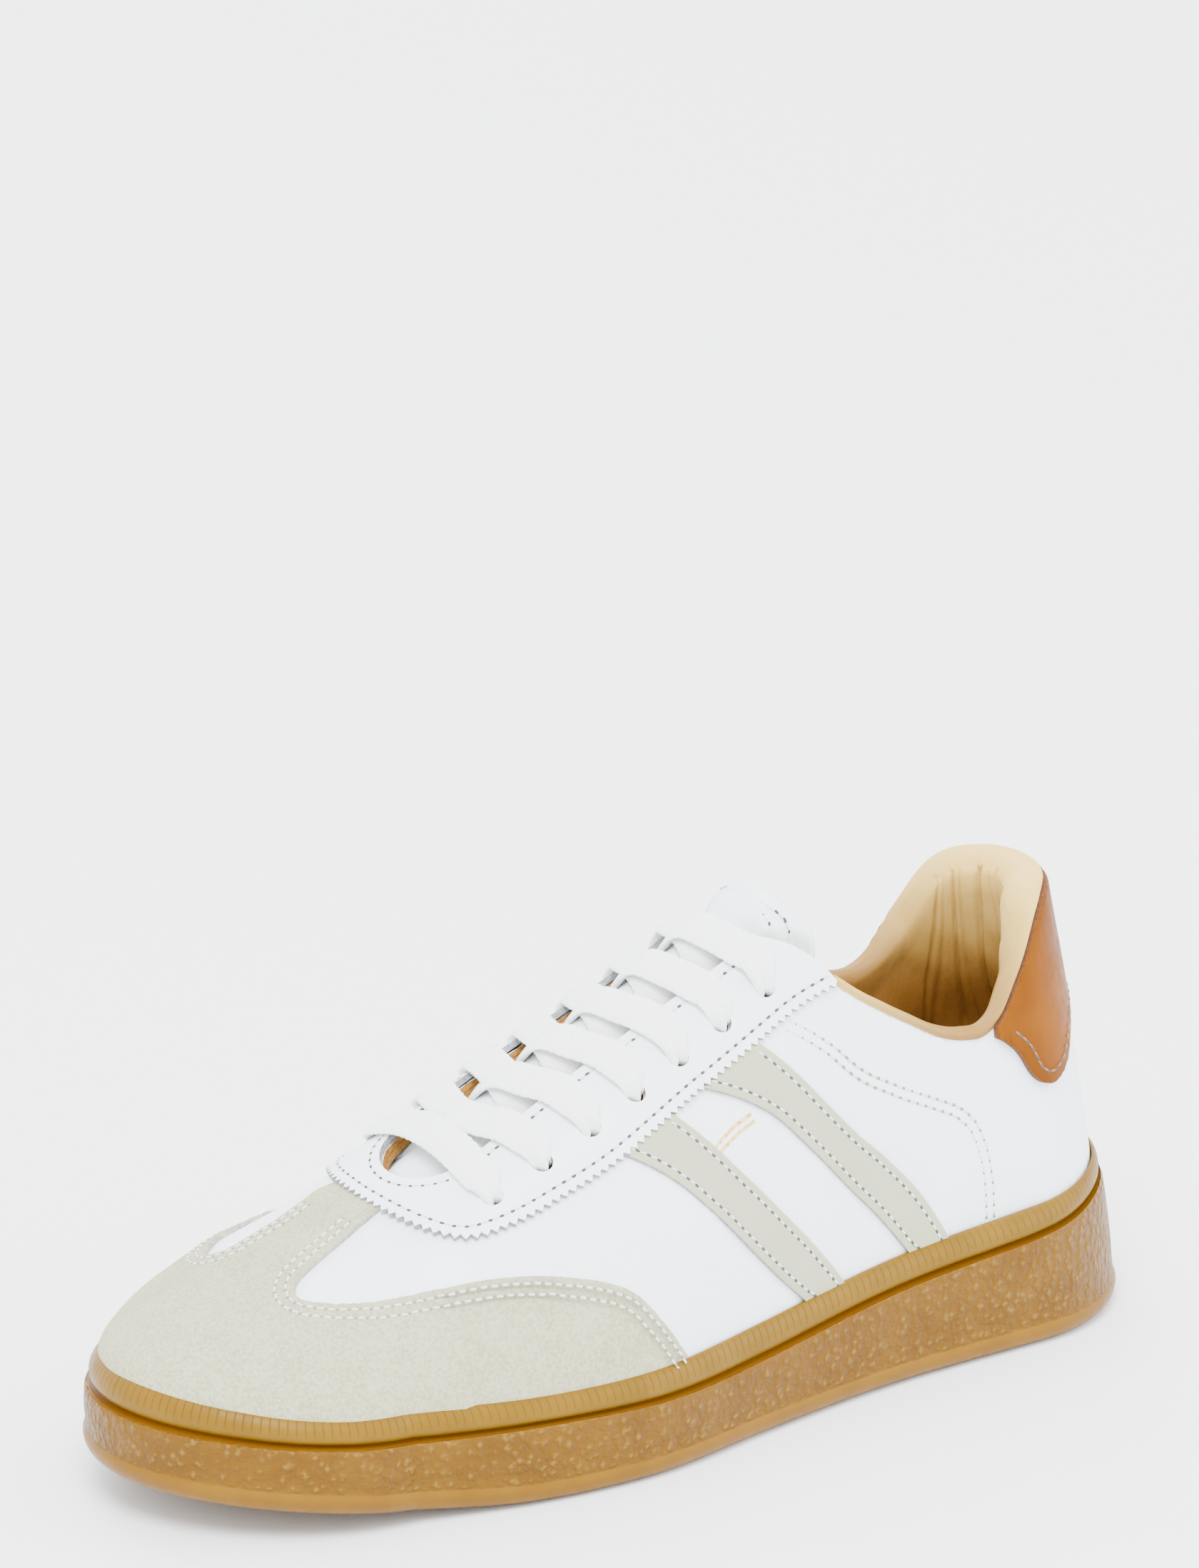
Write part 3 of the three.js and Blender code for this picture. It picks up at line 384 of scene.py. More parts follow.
def cut(name, outline, materials, inner, outer, holes=(), spacing=1.8, edge=0.5, waves=0.0, lift=None,
        seed=1):
    """A piece cut from leather: its outline and holes on the pattern plane, laid on the skin.

    The face is rounded over edge millimetres at its border, and waves is the height of its soft dents."""
    outline = np.asarray(outline, float)
    holes = [np.asarray(hole, float) for hole in holes]
    flat, tris = filled(outline, holes, spacing, edge)
    base = skin(flat)
    border = np.vstack([skin(even(np.vstack([loop, loop[:1]]), 0.5)) for loop in (outline, *holes)])
    away = nearest(base, border)
    drop = 0
    if edge > 0:
        into = 1 - np.clip(away / edge, 0, 1)
        drop = edge * (1 - np.sqrt(np.clip(1 - into**2, 0, 1)))
    top = outer - drop + hills(base, 24, seed) * waves * ease(away / 6)
    extra = lift(flat) if lift else 0
    n = skin_normal(flat)
    upper_points = base + n * (top + extra)[:, None]
    lower_points = base + n * (np.full(len(base), inner) + extra)[:, None]
    count = {}
    for t in tris:
        for k in range(3):
            e = (t[k], t[(k + 1) % 3])
            count[e] = count.get(e, 0) + 1
    rim = [e for e in count if (e[1], e[0]) not in count]
    m = len(flat)
    faces = [tuple(t) for t in tris] + [(t[2] + m, t[1] + m, t[0] + m) for t in tris]
    faces += [(e[1], e[0], e[0] + m, e[1] + m) for e in rim]
    slots = [0] * len(tris) + [min(1, len(materials) - 1)] * (len(tris) + len(rim))
    return to_object(name, np.vstack([upper_points, lower_points]), faces, materials, slots=slots, sharp=42)


def capsules(centres, along, normal, length, radius, flatten=1.0):
    """Small arched threads: points and faces of many at once."""
    sides = 6
    s = np.array([-0.5, -0.42, -0.2, 0.2, 0.42, 0.5])
    swell = np.array([0.35, 0.8, 1, 1, 0.8, 0.35])
    arch = -1.1 * (np.abs(s) / 0.5) ** 3
    across = unit(np.cross(normal, along))
    angle = np.arange(sides) * 2 * np.pi / sides
    n, k = len(centres), len(s)
    ring = (across[:, None, None] * np.cos(angle)[None, None, :, None]
            + normal[:, None, None] * (np.sin(angle) * flatten)[None, None, :, None]) * radius
    p = (centres[:, None, None] + along[:, None, None] * (s * length)[None, :, None, None]
         + normal[:, None, None] * (arch * radius)[None, :, None, None] + ring * swell[None, :, None, None])
    faces = []
    for r in range(k - 1):
        for a in range(sides):
            b = (a + 1) % sides
            faces.append((r * sides + a, r * sides + b, (r + 1) * sides + b, (r + 1) * sides + a))
    caps = [tuple(range(sides))[::-1], tuple(range((k - 1) * sides, k * sides))]
    stride = k * sides
    return p.reshape(-1, 3), [tuple(v + i * stride for v in f) for i in range(n) for f in (*faces, *caps)]


def threads(name, rows, looks, pitch, length, radius, body="shoe", nudge=0.0, lifts=(0.1, 0.02)):
    """Stitches along rows of (points, pattern points): a thread over each gap and, at its end, a flat dark
    capsule of painted shade for the needle hole.
    """
    centres, along, normals = [], [], []
    for points, near in rows:
        t = unit(np.gradient(points, axis=0))
        n = skin_normal(near)
        centres.append(points)
        along.append(t)
        normals.append(unit(n - t * (n * t).sum(-1, keepdims=True)))
    q, t, n = np.vstack(centres), np.vstack(along), np.vstack(normals)
    if nudge:
        moved = q + n * lifts[0] + np.cross(n, t) * (RNG.normal(size=(len(q), 1)) * nudge)
    else:
        moved = q + n * lifts[0]
    points, faces = capsules(moved, t, n, length, radius)
    gap = pitch - length + 0.35
    # Painted shade: a flat dark capsule at each stitch end stands in for the shade inside the needle hole.
    dark, hole_shade_faces = capsules(q + t * pitch / 2 + n * lifts[1], t, n, gap, radius * 1.15, flatten=0.5)
    shift = len(points)
    every = faces + [tuple(v + shift for v in f) for f in hole_shade_faces]
    slots = [0] * len(faces) + [1] * len(hole_shade_faces)
    return to_object(name, np.vstack([points, dark]), every, looks, body, slots, 80)


def sew(name, rows, thread, hole, lift, pitch, length, radius):
    """Rows of stitches along pattern paths, at one lift."""
    spaced = [even(row, pitch) for row in rows]
    rows = [(on_skin(p, lift), p) for p in spaced]
    return threads(name, rows, [thread, hole], pitch, length, radius, nudge=0.06)


# ---- materials
class Look:
    """One procedural material, with short names for the nodes that it needs."""

    def __init__(self, name, color, roughness=0.5, **sockets):
        self.material = bpy.data.materials.new(name)
        self.material.use_nodes = True
        self.tree = self.material.node_tree
        self.surface = self.tree.nodes["Principled BSDF"]
        self.put(self.surface.inputs["Base Color"], color)
        self.put(self.surface.inputs["Roughness"], roughness)
        for key, value in sockets.items():
            self.put(self.surface.inputs[key.replace("_", " ")], value)
        self.place = self.tree.nodes.new("ShaderNodeTexCoord").outputs["Object"]

    def put(self, socket, value):
        if isinstance(value, bpy.types.NodeSocket):
            self.tree.links.new(value, socket)
        elif socket.type == "RGBA":
            socket.default_value = (*value, 1)
        else:
            socket.default_value = value

    def node(self, kind, settings=(), **inputs):
        """A node with its settings and inputs, given by name or as i0, i1 and i2."""
        n = self.tree.nodes.new("ShaderNode" + kind)
        for key, value in dict(settings).items():
            setattr(n, key, value)
        for key, value in inputs.items():
            numbered = key[0] == "i" and key[1:].isdigit()
            self.put(n.inputs[int(key[1:]) if numbered else key.replace("_", " ")], value)
        return n

    def noise(self, size, detail=3.0, rough=0.55, place=None):
        """Noise with features of the given size in millimetres."""
        n = self.node("TexNoise", Scale=1000 / size, Detail=detail, Roughness=rough)
        self.put(n.inputs["Vector"], place or self.place)
        return n.outputs["Fac"]

    def cells(self, size, feature="F1", metric="EUCLIDEAN"):
        n = self.node("TexVoronoi", {"feature": feature}, Scale=1000 / size)
        if feature == "F1":
            n.distance = metric
        self.put(n.inputs["Vector"], self.place)
        return n.outputs["Distance"]

    def math(self, kind, a, b=0.0, c=0.0):
        return self.node("Math", {"operation": kind}, i0=a, i1=b, i2=c).outputs[0]

    def span(self, value, low, high, to_low=0.0, to_high=1.0):
        """The value spread smoothly from low and high to the two other limits."""
        n = self.node("MapRange", {"interpolation_type": "SMOOTHSTEP"}, Value=value, From_Min=low,
                      From_Max=high, To_Min=to_low, To_Max=to_high)
        return n.outputs["Result"]

    def mix(self, share, a, b):
        n = self.tree.nodes.new("ShaderNodeMix")
        n.data_type = "RGBA"
        self.put(n.inputs[0], share)
        self.put(n.inputs[6], a)
        self.put(n.inputs[7], b)
        return n.outputs[2]

    def bump(self, height, distance, strength=1.0, below=None):
        """Height between 0 and 1, as a relief of the given depth in millimetres."""
        n = self.node("Bump", Strength=strength, Distance=distance * MM, Height=height)
        if below is not None:
            self.put(n.inputs["Normal"], below)
        self.put(self.surface.inputs["Normal"], n.outputs["Normal"])
        return n.outputs["Normal"]

    def color(self, value):
        self.put(self.surface.inputs["Base Color"], value)

    def rough(self, value):
        self.put(self.surface.inputs["Roughness"], value)

    def flat(self):
        """Both values of the piece's flat map."""
        n = self.tree.nodes.new("ShaderNodeUVMap")
        n.uv_map = "flat"
        xyz = self.node("SeparateXYZ", Vector=n.outputs["UV"])
        return xyz.outputs["X"], xyz.outputs["Y"]


def grained(name, light, dark, roughness, grain=0.9, depth=0.05, **sockets):
    """Smooth leather: cloudy colour, a fine pebbled grain and pores."""
    k = Look(name, light, **sockets)
    k.color(k.mix(k.span(k.noise(14, 4), 0.35, 0.65), dark, light))
    pebble = k.bump(k.cells(grain, "SMOOTH_F1"), depth, 0.8)
    k.bump(k.noise(0.35, 5), depth * 0.8, 0.6, pebble)
    k.rough(k.span(k.noise(3, 5), 0.3, 0.7, roughness - 0.05, roughness + 0.07))
    return k


def napped(name, light, dark, **sockets):
    """Suede: short brushed fibres, darker where they part."""
    k = Look(name, light, 0.95, Sheen_Weight=0.1, Sheen_Roughness=0.45, Specular_IOR_Level=0.2, **sockets)
    k.put(k.surface.inputs["Sheen Tint"], light)
    fibres = k.noise(0.55, 8, 0.72)
    clouds = k.noise(9, 4)
    speckle = k.span(k.noise(0.9, 6, 0.75), 0.38, 0.62)
    tone = k.math("MULTIPLY_ADD", speckle, 0.55, k.math("MULTIPLY", clouds, 0.6))
    k.color(k.mix(k.span(tone, 0.25, 0.8), dark, light))
    k.bump(fibres, 0.35, 0.75)
    return k


def build_materials():
    m = {}
    m["white"] = grained("white_leather", (0.85, 0.895, 0.925), (0.82, 0.87, 0.905), 0.40, 0.8, 0.03,
                         Coat_Weight=0.08, Coat_Roughness=0.35)
    m["tongue"] = grained("tongue_leather", (0.84, 0.88, 0.91), (0.80, 0.845, 0.88), 0.46, 0.9, 0.05)
    m["suede"] = napped("toe_suede", (0.47, 0.46, 0.30), (0.345, 0.34, 0.215))
    m["suede_edge"] = napped("suede_cut_edge", (0.46, 0.445, 0.40), (0.30, 0.29, 0.26))
    m["stripe"] = grained("stripe_leather", (0.38, 0.395, 0.26), (0.36, 0.375, 0.245), 0.45, 0.8, 0.03,
                          Specular_IOR_Level=0.35)
    m["tan"] = tan_leather()
    m["raw"] = raw_edge("raw_tan_edge", (0.16, 0.05, 0.008), (0.06, 0.018, 0.004))
    m["edge"] = raw_edge("grey_cut_edge", (0.42, 0.43, 0.44), (0.16, 0.165, 0.17))
    m["backing"] = napped("split_backing", (0.33, 0.16, 0.035), (0.21, 0.09, 0.018))
    m["lining"] = glove_lining()
    m["footbed"] = grained("footbed_leather", (0.24, 0.09, 0.011), (0.19, 0.07, 0.008), 0.55, 1.2, 0.06)
    m["gum"] = gum_rubber()
    m["lace"] = woven_lace()
    m["thread_white"] = thread("white_thread", (0.80, 0.81, 0.80))
    m["thread_cream"] = thread("cream_thread", (0.78, 0.76, 0.68))
    m["thread_brown"] = thread("brown_thread", (0.24, 0.09, 0.02))
    m["thread_tan"] = thread("tan_thread", (0.62, 0.48, 0.28))
    # Painted shade of the needle holes: dark on smooth leather, softer on suede and lining.
    m["hole"] = painted_hole_shade("painted_hole_shade", (0.02, 0.02, 0.024), (0.10, 0.10, 0.105))
    m["hole_soft"] = painted_hole_shade("soft_painted_hole_shade", (0.12, 0.115, 0.10), (0.32, 0.31, 0.27))
    m["foil"] = gold_foil()
    m["plastic"] = grained("lace_tip_plastic", (0.86, 0.86, 0.83), (0.80, 0.80, 0.78), 0.25, 2.0, 0.01)
    m["foam"] = open_foam()
    m["board"] = raw_edge("insole_fibreboard", (0.46, 0.34, 0.19), (0.36, 0.26, 0.14))
    m["stiffener"] = raw_edge("stiffener_sheet", (0.62, 0.58, 0.50), (0.5, 0.46, 0.4))
    return {key: value.material for key, value in m.items()}


def tan_leather():
    """Smooth tan leather with broad clouds of colour."""
    light, dark = (0.175, 0.054, 0.0015), (0.12, 0.034, 0.001)
    k = grained("tan_heel_leather", light, dark, 0.42, 1.0, 0.035, Specular_IOR_Level=0.06)
    k.color(k.mix(k.span(k.noise(22, 3), 0.3, 0.7), dark, light))
    return k


# Painted shade: the colour of a needle hole stands in for the shade inside it, darkest in the core and
# lighter towards the rim.
def painted_hole_shade(name, deepest_shade, rim):
    k = Look(name, deepest_shade, 0.9)
    k.color(k.mix(k.noise(0.5), deepest_shade, rim))
    return k


def raw_edge(name, light, dark):
    """Cut edge of leather or board: fibres in layers."""
    k = Look(name, light, 0.85)
    layers = k.noise(0.8, 8, 0.8)
    k.color(k.mix(k.span(layers, 0.35, 0.65), dark, light))
    k.bump(layers, 0.4, 0.8)
    return k


def glove_lining():
    """Soft beige lining leather with fine creases, with painted shade that darkens it to deep brown towards
    the foot.
    """
    k = Look("glove_lining", (0.70, 0.50, 0.06), 0.6, Specular_IOR_Level=0.25)
    tone = k.mix(k.span(k.noise(16, 4), 0.3, 0.7), (0.64, 0.43, 0.105), (0.71, 0.49, 0.145))
    height = k.node("SeparateXYZ", Vector=k.place).outputs["Z"]
    # Painted shade: from the rim height down to the seam height the colour darkens to deep brown, standing in
    # for the shade inside the shoe.
    rim, seam = 0.112, 0.067
    k.color(k.mix(k.span(height, rim, seam, 0.0, 0.93), tone, (0.15, 0.052, 0.004)))
    stretched = k.node("Mapping", Vector=k.place, Scale=(1.0, 1.0, 0.28)).outputs["Vector"]
    creases = k.bump(k.span(k.noise(5, 5, 0.5, stretched), 0.3, 0.7), 0.35, 0.5)
    k.bump(k.cells(0.8, "SMOOTH_F1"), 0.04, 0.7, creases)
    k.rough(k.span(k.noise(4, 4), 0.3, 0.7, 0.48, 0.62))
    return k


def thread(name, color):
    """Twisted sewing thread."""
    k = Look(name, color, 0.65, Sheen_Weight=0.2)
    k.color(k.mix(k.noise(0.4, 2), tuple(c * 0.82 for c in color), color))
    k.bump(k.noise(0.18, 2), 0.06, 0.6)
    return k


def gold_foil():
    """Thin pressed foil, slightly worn."""
    k = Look("gold_foil", (0.75, 0.50, 0.12), 0.3, Metallic=0.85)
    k.color(k.mix(k.span(k.noise(1.2, 4), 0.35, 0.65), (0.52, 0.33, 0.06), (0.86, 0.62, 0.20)))
    k.bump(k.noise(0.5, 4), 0.04, 0.6)
    return k


def open_foam():
    """Foam with open cells."""
    k = Look("open_foam", (0.80, 0.76, 0.60), 0.95)
    # Painted shade: the pits of the open cells are painted darker.
    k.color(k.mix(k.cells(0.8), (0.62, 0.57, 0.42), (0.84, 0.80, 0.64)))
    k.bump(k.cells(0.8), 0.4, 0.8)
    return k


# Pitch of the fine lines on the rand, and pitch and fold width of the tread's herringbone.
RAND_LINE_PITCH, TREAD_PITCH, TREAD_FOLD = 2.1, 5.2, 6.0


def gum_rubber():
    """Gum rubber: smooth bottom band, faceted wall with a painted highlight on each facet, a groove darkened
    by painted shade and a rand with fine upright lines.
    The flat map holds the length round the sole and the zone: 0-1 band, 1-2 wall, 2-3 groove, 3-4 rand."""
    k = Look("gum_rubber", (0.3, 0.12, 0.02), 0.42, Subsurface_Weight=0.12, Subsurface_Scale=0.004,
             Specular_IOR_Level=0.13)
    k.surface.inputs["Subsurface Radius"].default_value = (1.0, 0.45, 0.12)
    along, zone = k.flat()
    wall = k.math("MULTIPLY", k.span(zone, 1.02, 1.14), k.span(zone, 2.05, 1.98))
    groove = k.math("MULTIPLY", k.span(zone, 1.97, 2.1), k.span(zone, 3.12, 2.95))
    rand = k.span(zone, 2.9, 3.1)
    clouds = k.span(k.noise(11, 5), 0.3, 0.7)
    band_tone = k.mix(clouds, (0.145, 0.066, 0.0023), (0.172, 0.080, 0.003))
    wall_tone = k.mix(clouds, (0.108, 0.046, 0.0015), (0.132, 0.059, 0.002))
    rand_tone = k.mix(clouds, (0.136, 0.070, 0.0023), (0.160, 0.084, 0.003))
    tone = k.mix(wall, band_tone, wall_tone)
    tone = k.mix(rand, tone, rand_tone)
    # Painted shade: the groove's recess is painted a darker, deeper amber than the rand above it.
    tone = k.mix(groove, tone, (0.135, 0.052, 0.0012))
    coarse = k.cells(2.3, "F1", "MANHATTAN")
    fine = k.cells(1.35, "F1", "CHEBYCHEV")
    facets = k.math("MULTIPLY_ADD", coarse, 0.62, k.math("MULTIPLY", fine, 0.38))
    # Painted highlight: the raised middle of each wall facet is painted a lighter gum colour.
    tone = k.mix(k.math("MULTIPLY", wall, k.span(facets, 0.55, 0.15)), tone, (0.185, 0.105, 0.013))
    k.color(tone)
    relief = k.bump(k.math("MULTIPLY", k.math("SUBTRACT", 1.0, facets), wall), 0.9, 0.85)
    turn = k.math("PINGPONG", along, RAND_LINE_PITCH / 2)
    line = k.span(turn, 0.0, 0.22)
    fade = k.math("MULTIPLY", k.span(zone, 3.25, 3.55), k.span(zone, 3.97, 3.9))
    ribs = k.math("SUBTRACT", 1.0, k.math("MULTIPLY", fade, k.math("SUBTRACT", 1.0, line)))
    ribbed = k.bump(ribs, 0.22, 0.9, relief)
    xyz = k.node("SeparateXYZ", Vector=k.place)
    folds = k.math("PINGPONG", xyz.outputs["Y"], TREAD_FOLD * MM)
    step = k.math("PINGPONG", k.math("ADD", xyz.outputs["X"], folds), TREAD_PITCH / 2 * MM)
    tread = k.span(step, 0.0011, 0.0015)
    under = k.span(zone, 0.3, 0.1)
    k.bump(k.math("SUBTRACT", 1.0, k.math("MULTIPLY", under, tread)), 1.2, 1.0, ribbed)
    k.rough(k.span(k.noise(2.5, 4), 0.3, 0.7, 0.34, 0.46))
    return k


def woven_lace():
    """Flat cotton lace: a braid of slanting yarns on both sides of its middle line."""
    k = Look("cotton_lace", (0.95, 0.96, 0.96), 0.9, Sheen_Weight=0.2, Subsurface_Weight=0.08,
             Subsurface_Scale=0.002)
    along, across = k.flat()
    slant = k.math("ADD", along, k.math("MULTIPLY", k.math("ABSOLUTE", across), 0.9))
    yarn = k.math("PINGPONG", slant, 0.55)
    over = k.math("PINGPONG", across, 0.6)
    braid = k.math("MULTIPLY", k.span(yarn, 0.0, 0.5), k.math("MULTIPLY_ADD", over, 0.6, 0.6))
    first = k.bump(braid, 0.20, 0.55)
    k.bump(k.noise(0.9, 6, 0.75), 0.35, 0.7, first)
    # Painted shade: the low parts of the braid between the yarns are painted greyer.
    k.color(k.mix(k.span(braid, 0.0, 0.5), (0.88, 0.90, 0.90), (0.96, 0.97, 0.96)))
    return k


M = build_materials()


# ---- sole
def outline_ribs(count):
    """Ribs all round the sole, evenly spaced along its outline."""
    u = np.concatenate([np.linspace(TOE_TIP, TOE_PIVOT, 120)[:-1],
                        np.linspace(TOE_PIVOT, HEEL_PIVOT, 200)[:-1],
                        np.linspace(HEEL_PIVOT, HEEL_BACK, 100)])
    side = np.concatenate([np.full(len(u), -1.0), np.full(len(u) - 2, 1.0)])
    both = np.concatenate([u, u[-2:0:-1]])
    r = Ribs(side, both)
    edge = np.stack([r.x + r.dx * r.radius, r.y + r.dy * r.radius], -1)
    s = run(np.vstack([edge, edge[:1]]))
    at = np.linspace(0, s[-1], count, endpoint=False)
    half = HEEL_BACK - TOE_TIP
    signed = np.concatenate([np.where(side < 0, both - TOE_TIP, 2 * half - (both - TOE_TIP)), [2 * half]])
    turn = np.interp(at, s, signed)
    return Ribs(np.where(turn < half, -1.0, 1.0), TOE_TIP + np.where(turn < half, turn, 2 * half - turn)), at


# Height of the smooth band under the wall.
SOLE_BAND = 6.2
# Section of the cup sole, part by part: inset from the widest line, level, and zone of the flat map.
# The level is millimetres above the bottom (bottom, floor), above the groove (groove) or below the
# rand (inside), and a share of the way up for the wall and the rand.
SOLE_SECTION = {
    "bottom": [[30, 0, 0], [14, 0, 0], [6, 0, 0.02], [4.2, 0.05, 0.1], [3, 0.35, 0.3], [1.9, 0.95, 0.45],
               [1, 1.8, 0.6], [0.45, 2.8, 0.75], [0.2, 3.9, 0.9], [0.2, 4.7, 0.97], [0.45, 5.3, 1.02],
               [0.8, 5.9, 1.1]],
    "wall": [[0.75, 0.15, 1.25], [0.6, 0.3, 1.4], [0.5, 0.45, 1.5], [0.5, 0.6, 1.6], [0.55, 0.75, 1.75],
             [0.6, 0.88, 1.88], [0.7, 0.96, 1.96], [1.1, 1.02, 2]],
    "groove": [[1.9, 0.15, 2.1], [2.9, 0.1, 2.4], [3.4, 0.5, 2.6], [3.1, 1.2, 2.85]],
    "rand": [[2.35, 0.2, 3.05], [1.85, 0.32, 3.2], [1.75, 0.46, 3.4], [1.95, 0.6, 3.55],
             [2.4, 0.74, 3.68], [3.05, 0.87, 3.8], [3.8, 0.96, 3.9], [4.5, 1, 3.96], [4.95, 0.98, 4],
             [5, 0.8, 4]],
    "inside": [[5, 8.3, 4], [9, 8.3, 4]],
    "floor": [[9, 5, 4]]}


def sole():
    r, along = outline_ribs(1100)
    columns = []
    zones = []
    # The heel's wall leans in towards its top, and the rand always reaches the upper.
    flare = 2.9 * ease((r.u - 88) / 26)
    lip = curve(UPPER_INSET, r.u) - 0.2
    rand_out, rand_in = 1.75, 5.0
    section = [(kind, *row) for kind, rows in SOLE_SECTION.items() for row in rows]
    for kind, inset, level, zone in section:
        if kind in ("rand", "inside") and inset <= rand_in:
            inset = rand_out + flare + (inset - rand_out) / (rand_in - rand_out) * (lip - rand_out - flare)
        elif kind in ("wall", "groove"):
            inset = inset + flare * (level if kind == "wall" else 1)
        reach = np.maximum(r.radius - inset, 0)
        x = r.x + r.dx * reach
        bottom = np.maximum(0, curve(SOLE_BOTTOM, x))
        rim = r.x + r.dx * r.radius
        groove, rand = curve(GROOVE_Z, rim), curve(RAND_Z, rim)
        foot = bottom + SOLE_BAND
        z = {"bottom": bottom + level, "wall": foot + (groove - foot) * level, "groove": groove + level,
             "rand": groove + (rand - groove) * level, "inside": rand - level, "floor": bottom + level}[kind]
        columns.append(np.stack([x, r.y + r.dy * reach, z], -1))
        zones.append(np.stack([along, np.full(len(x), zone)], -1))
    centre = [np.stack([r.x, r.y, np.maximum(0, curve(SOLE_BOTTOM, r.x)) + h], -1) for h in (0.0, 5.0)]
    columns = [centre[0], *columns, centre[1]]
    zones = [zones[0] * [1, 0], *zones, zones[-1]]
    points = np.stack(columns, 1).reshape(-1, 3)
    flat = np.stack(zones, 1).reshape(-1, 2)
    faces = grid_faces(len(r.u), len(columns), wrap=True)
    piece = to_object("cup_sole", points, faces, [M["gum"]], flat=flat, sharp=60, merge=True)
    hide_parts("cupsole")


# ---- white quarters
def circle_on_skin(p, radius):
    """Pattern points of a true circle on the skin."""
    a, b = slopes(p[None])
    a, b = a[0], b[0]
    n = unit(np.cross(a, b))
    t1 = unit(a)
    t2 = np.cross(n, t1)
    gram = np.array([[a @ a, a @ b], [a @ b, b @ b]])
    angle = np.arange(20) * 2 * np.pi / 20
    moves = radius * (np.cos(angle)[:, None] * t1 + np.sin(angle)[:, None] * t2)
    return p + np.stack([np.linalg.solve(gram, [m @ a, m @ b]) for m in moves])


def facing_half(side, x):
    """Half width of the eyestay in plan."""
    table = sorted(zip(EYESTAY_STATIONS, EYESTAY_OUTER[side]))
    return curve([list(k) for k in table], x)


def eyelet(side, n):
    """Pattern point of an eyelet, counted from the toe."""
    x = EYELET_X[n]
    half = THROAT_HALF + (facing_half(side, x) - THROAT_HALF) * EYELET_SHARE
    return plan([[x, THROAT_Y + side * half]])[0]


def holes(sides=(-1, 1)):
    return [circle_on_skin(eyelet(side, n), EYELET_RADIUS) for side in sides for n in range(len(EYELET_X))]


def throat_edge(side):
    """Edge of the throat of one side, from its front to the inner end of the facing."""
    x = THROAT_FRONT + (FACING_INNER_END - THROAT_FRONT) * np.linspace(0, 1, 60) ** 1.6
    ahead = np.clip((THROAT_FRONT + THROAT_ROUND - x) / THROAT_ROUND, 0, 1)
    return plan(np.stack([x, THROAT_Y + side * THROAT_HALF * np.sqrt(1 - ahead**2)], -1))


def facing_end(side):
    """Slanted end of the facing, from its inner to its outer corner."""
    t = np.linspace(0, 1, 12)
    half = THROAT_HALF + (EYESTAY_OUTER[side][0] - THROAT_HALF) * t
    x = FACING_INNER_END + (FACING_END - FACING_INNER_END) * t
    return plan(np.stack([x, THROAT_Y + side * half], -1))


def height_line(side, start, steps, table, drop=0.0):
    """Pattern line from a station to the heel's back, at the heights of a table."""
    u = np.linspace(start, HEEL_BACK, steps)
    r = Ribs(np.full(steps, side), u)
    return r.pattern(r.at_height(curve(table, u) - drop))


def quarter(side, label):
    """One side of the upper, from the heel seam to the middle of the vamp; its lower edge is in the sole."""
    below = 1.1
    u = np.linspace(HEEL_BACK, TOE_TIP, 240)
    low = Ribs(np.full(240, side), u).pattern(np.full(240, below))
    back = Ribs(np.full(14, side), np.full(14, HEEL_BACK))
    top = back.at_height(np.full(14, HEEL_TOP))
    seam = back.pattern(top + (below - top) * np.linspace(0, 1, 14))[1:-1]
    y0 = curve(SPINE_Y, THROAT_FRONT)
    ridge_x = np.linspace(-145, THROAT_FRONT - 0.4, 50)
    ridge = np.stack([ridge_x, curve(SPINE_Y, ridge_x)], -1)[1:]
    throat = throat_edge(side)
    throat = throat[(throat[:, 1] - y0) * side > 0.2]
    topline = height_line(side, FACING_END, 90, TOPLINE_Z)
    outline = np.vstack([ridge, throat, facing_end(side)[1:-1], topline, seam, low])
    piece = cut(f"quarter_{label}_leather", outline, [M["white"], M["backing"]], *QUARTER, holes((side,)),
                spacing=2.6, edge=0.4, waves=0.22, seed=3 if side < 0 else 4)
    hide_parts(f"quarter_{label}")


# ---- overlays
# Side view of the toe cap's wing, and half widths of its T piece in plan.
WING = [[-14.0, 20], [-17.5, 30], [-21.5, 35.7], [-27.5, 43], [-33, 46.2], [-41, 48.7], [-50, 50.4]]
BAR = {-1: [[-65, 34.6], [-80, 29.8], [-89, 25.9], [-95.2, 20.9], [-97.6, 16.4], [-95.6, 12.6], [-89.3, 10.7],
            [-80, 9.7], [-70, 9.3]],
       1: [[-65, 31], [-80, 29], [-89, 26.4], [-95.2, 22.4], [-97.6, 18.3], [-95.6, 14.5], [-89.3, 12.6],
           [-80, 11.6], [-70, 11.2]]}


def cap_side(side):
    """Edge of the toe cap on one side, from the rand along the wing to the end of the T piece."""
    wing = [[x, z - (0 if side < 0 else 1.5)] for x, z in WING]
    bar = plan([[x, curve(SPINE_Y, x) + side * half] for x, half in BAR[side]])
    return smooth(np.vstack([at_height(side, wing), bar]), 14)


def rand_line(side):
    """The toe cap's lower edge, just below the top of the rand."""
    u = np.linspace(WING[0][0], TOE_TIP, 90)
    return Ribs(np.full(90, side), u).pattern(np.full(90, 1.05))


def skive(p):
    """The T piece is thinned where the eyestay covers it."""
    return -0.95 * ease((p[:, 0] + 73.5) / 4)


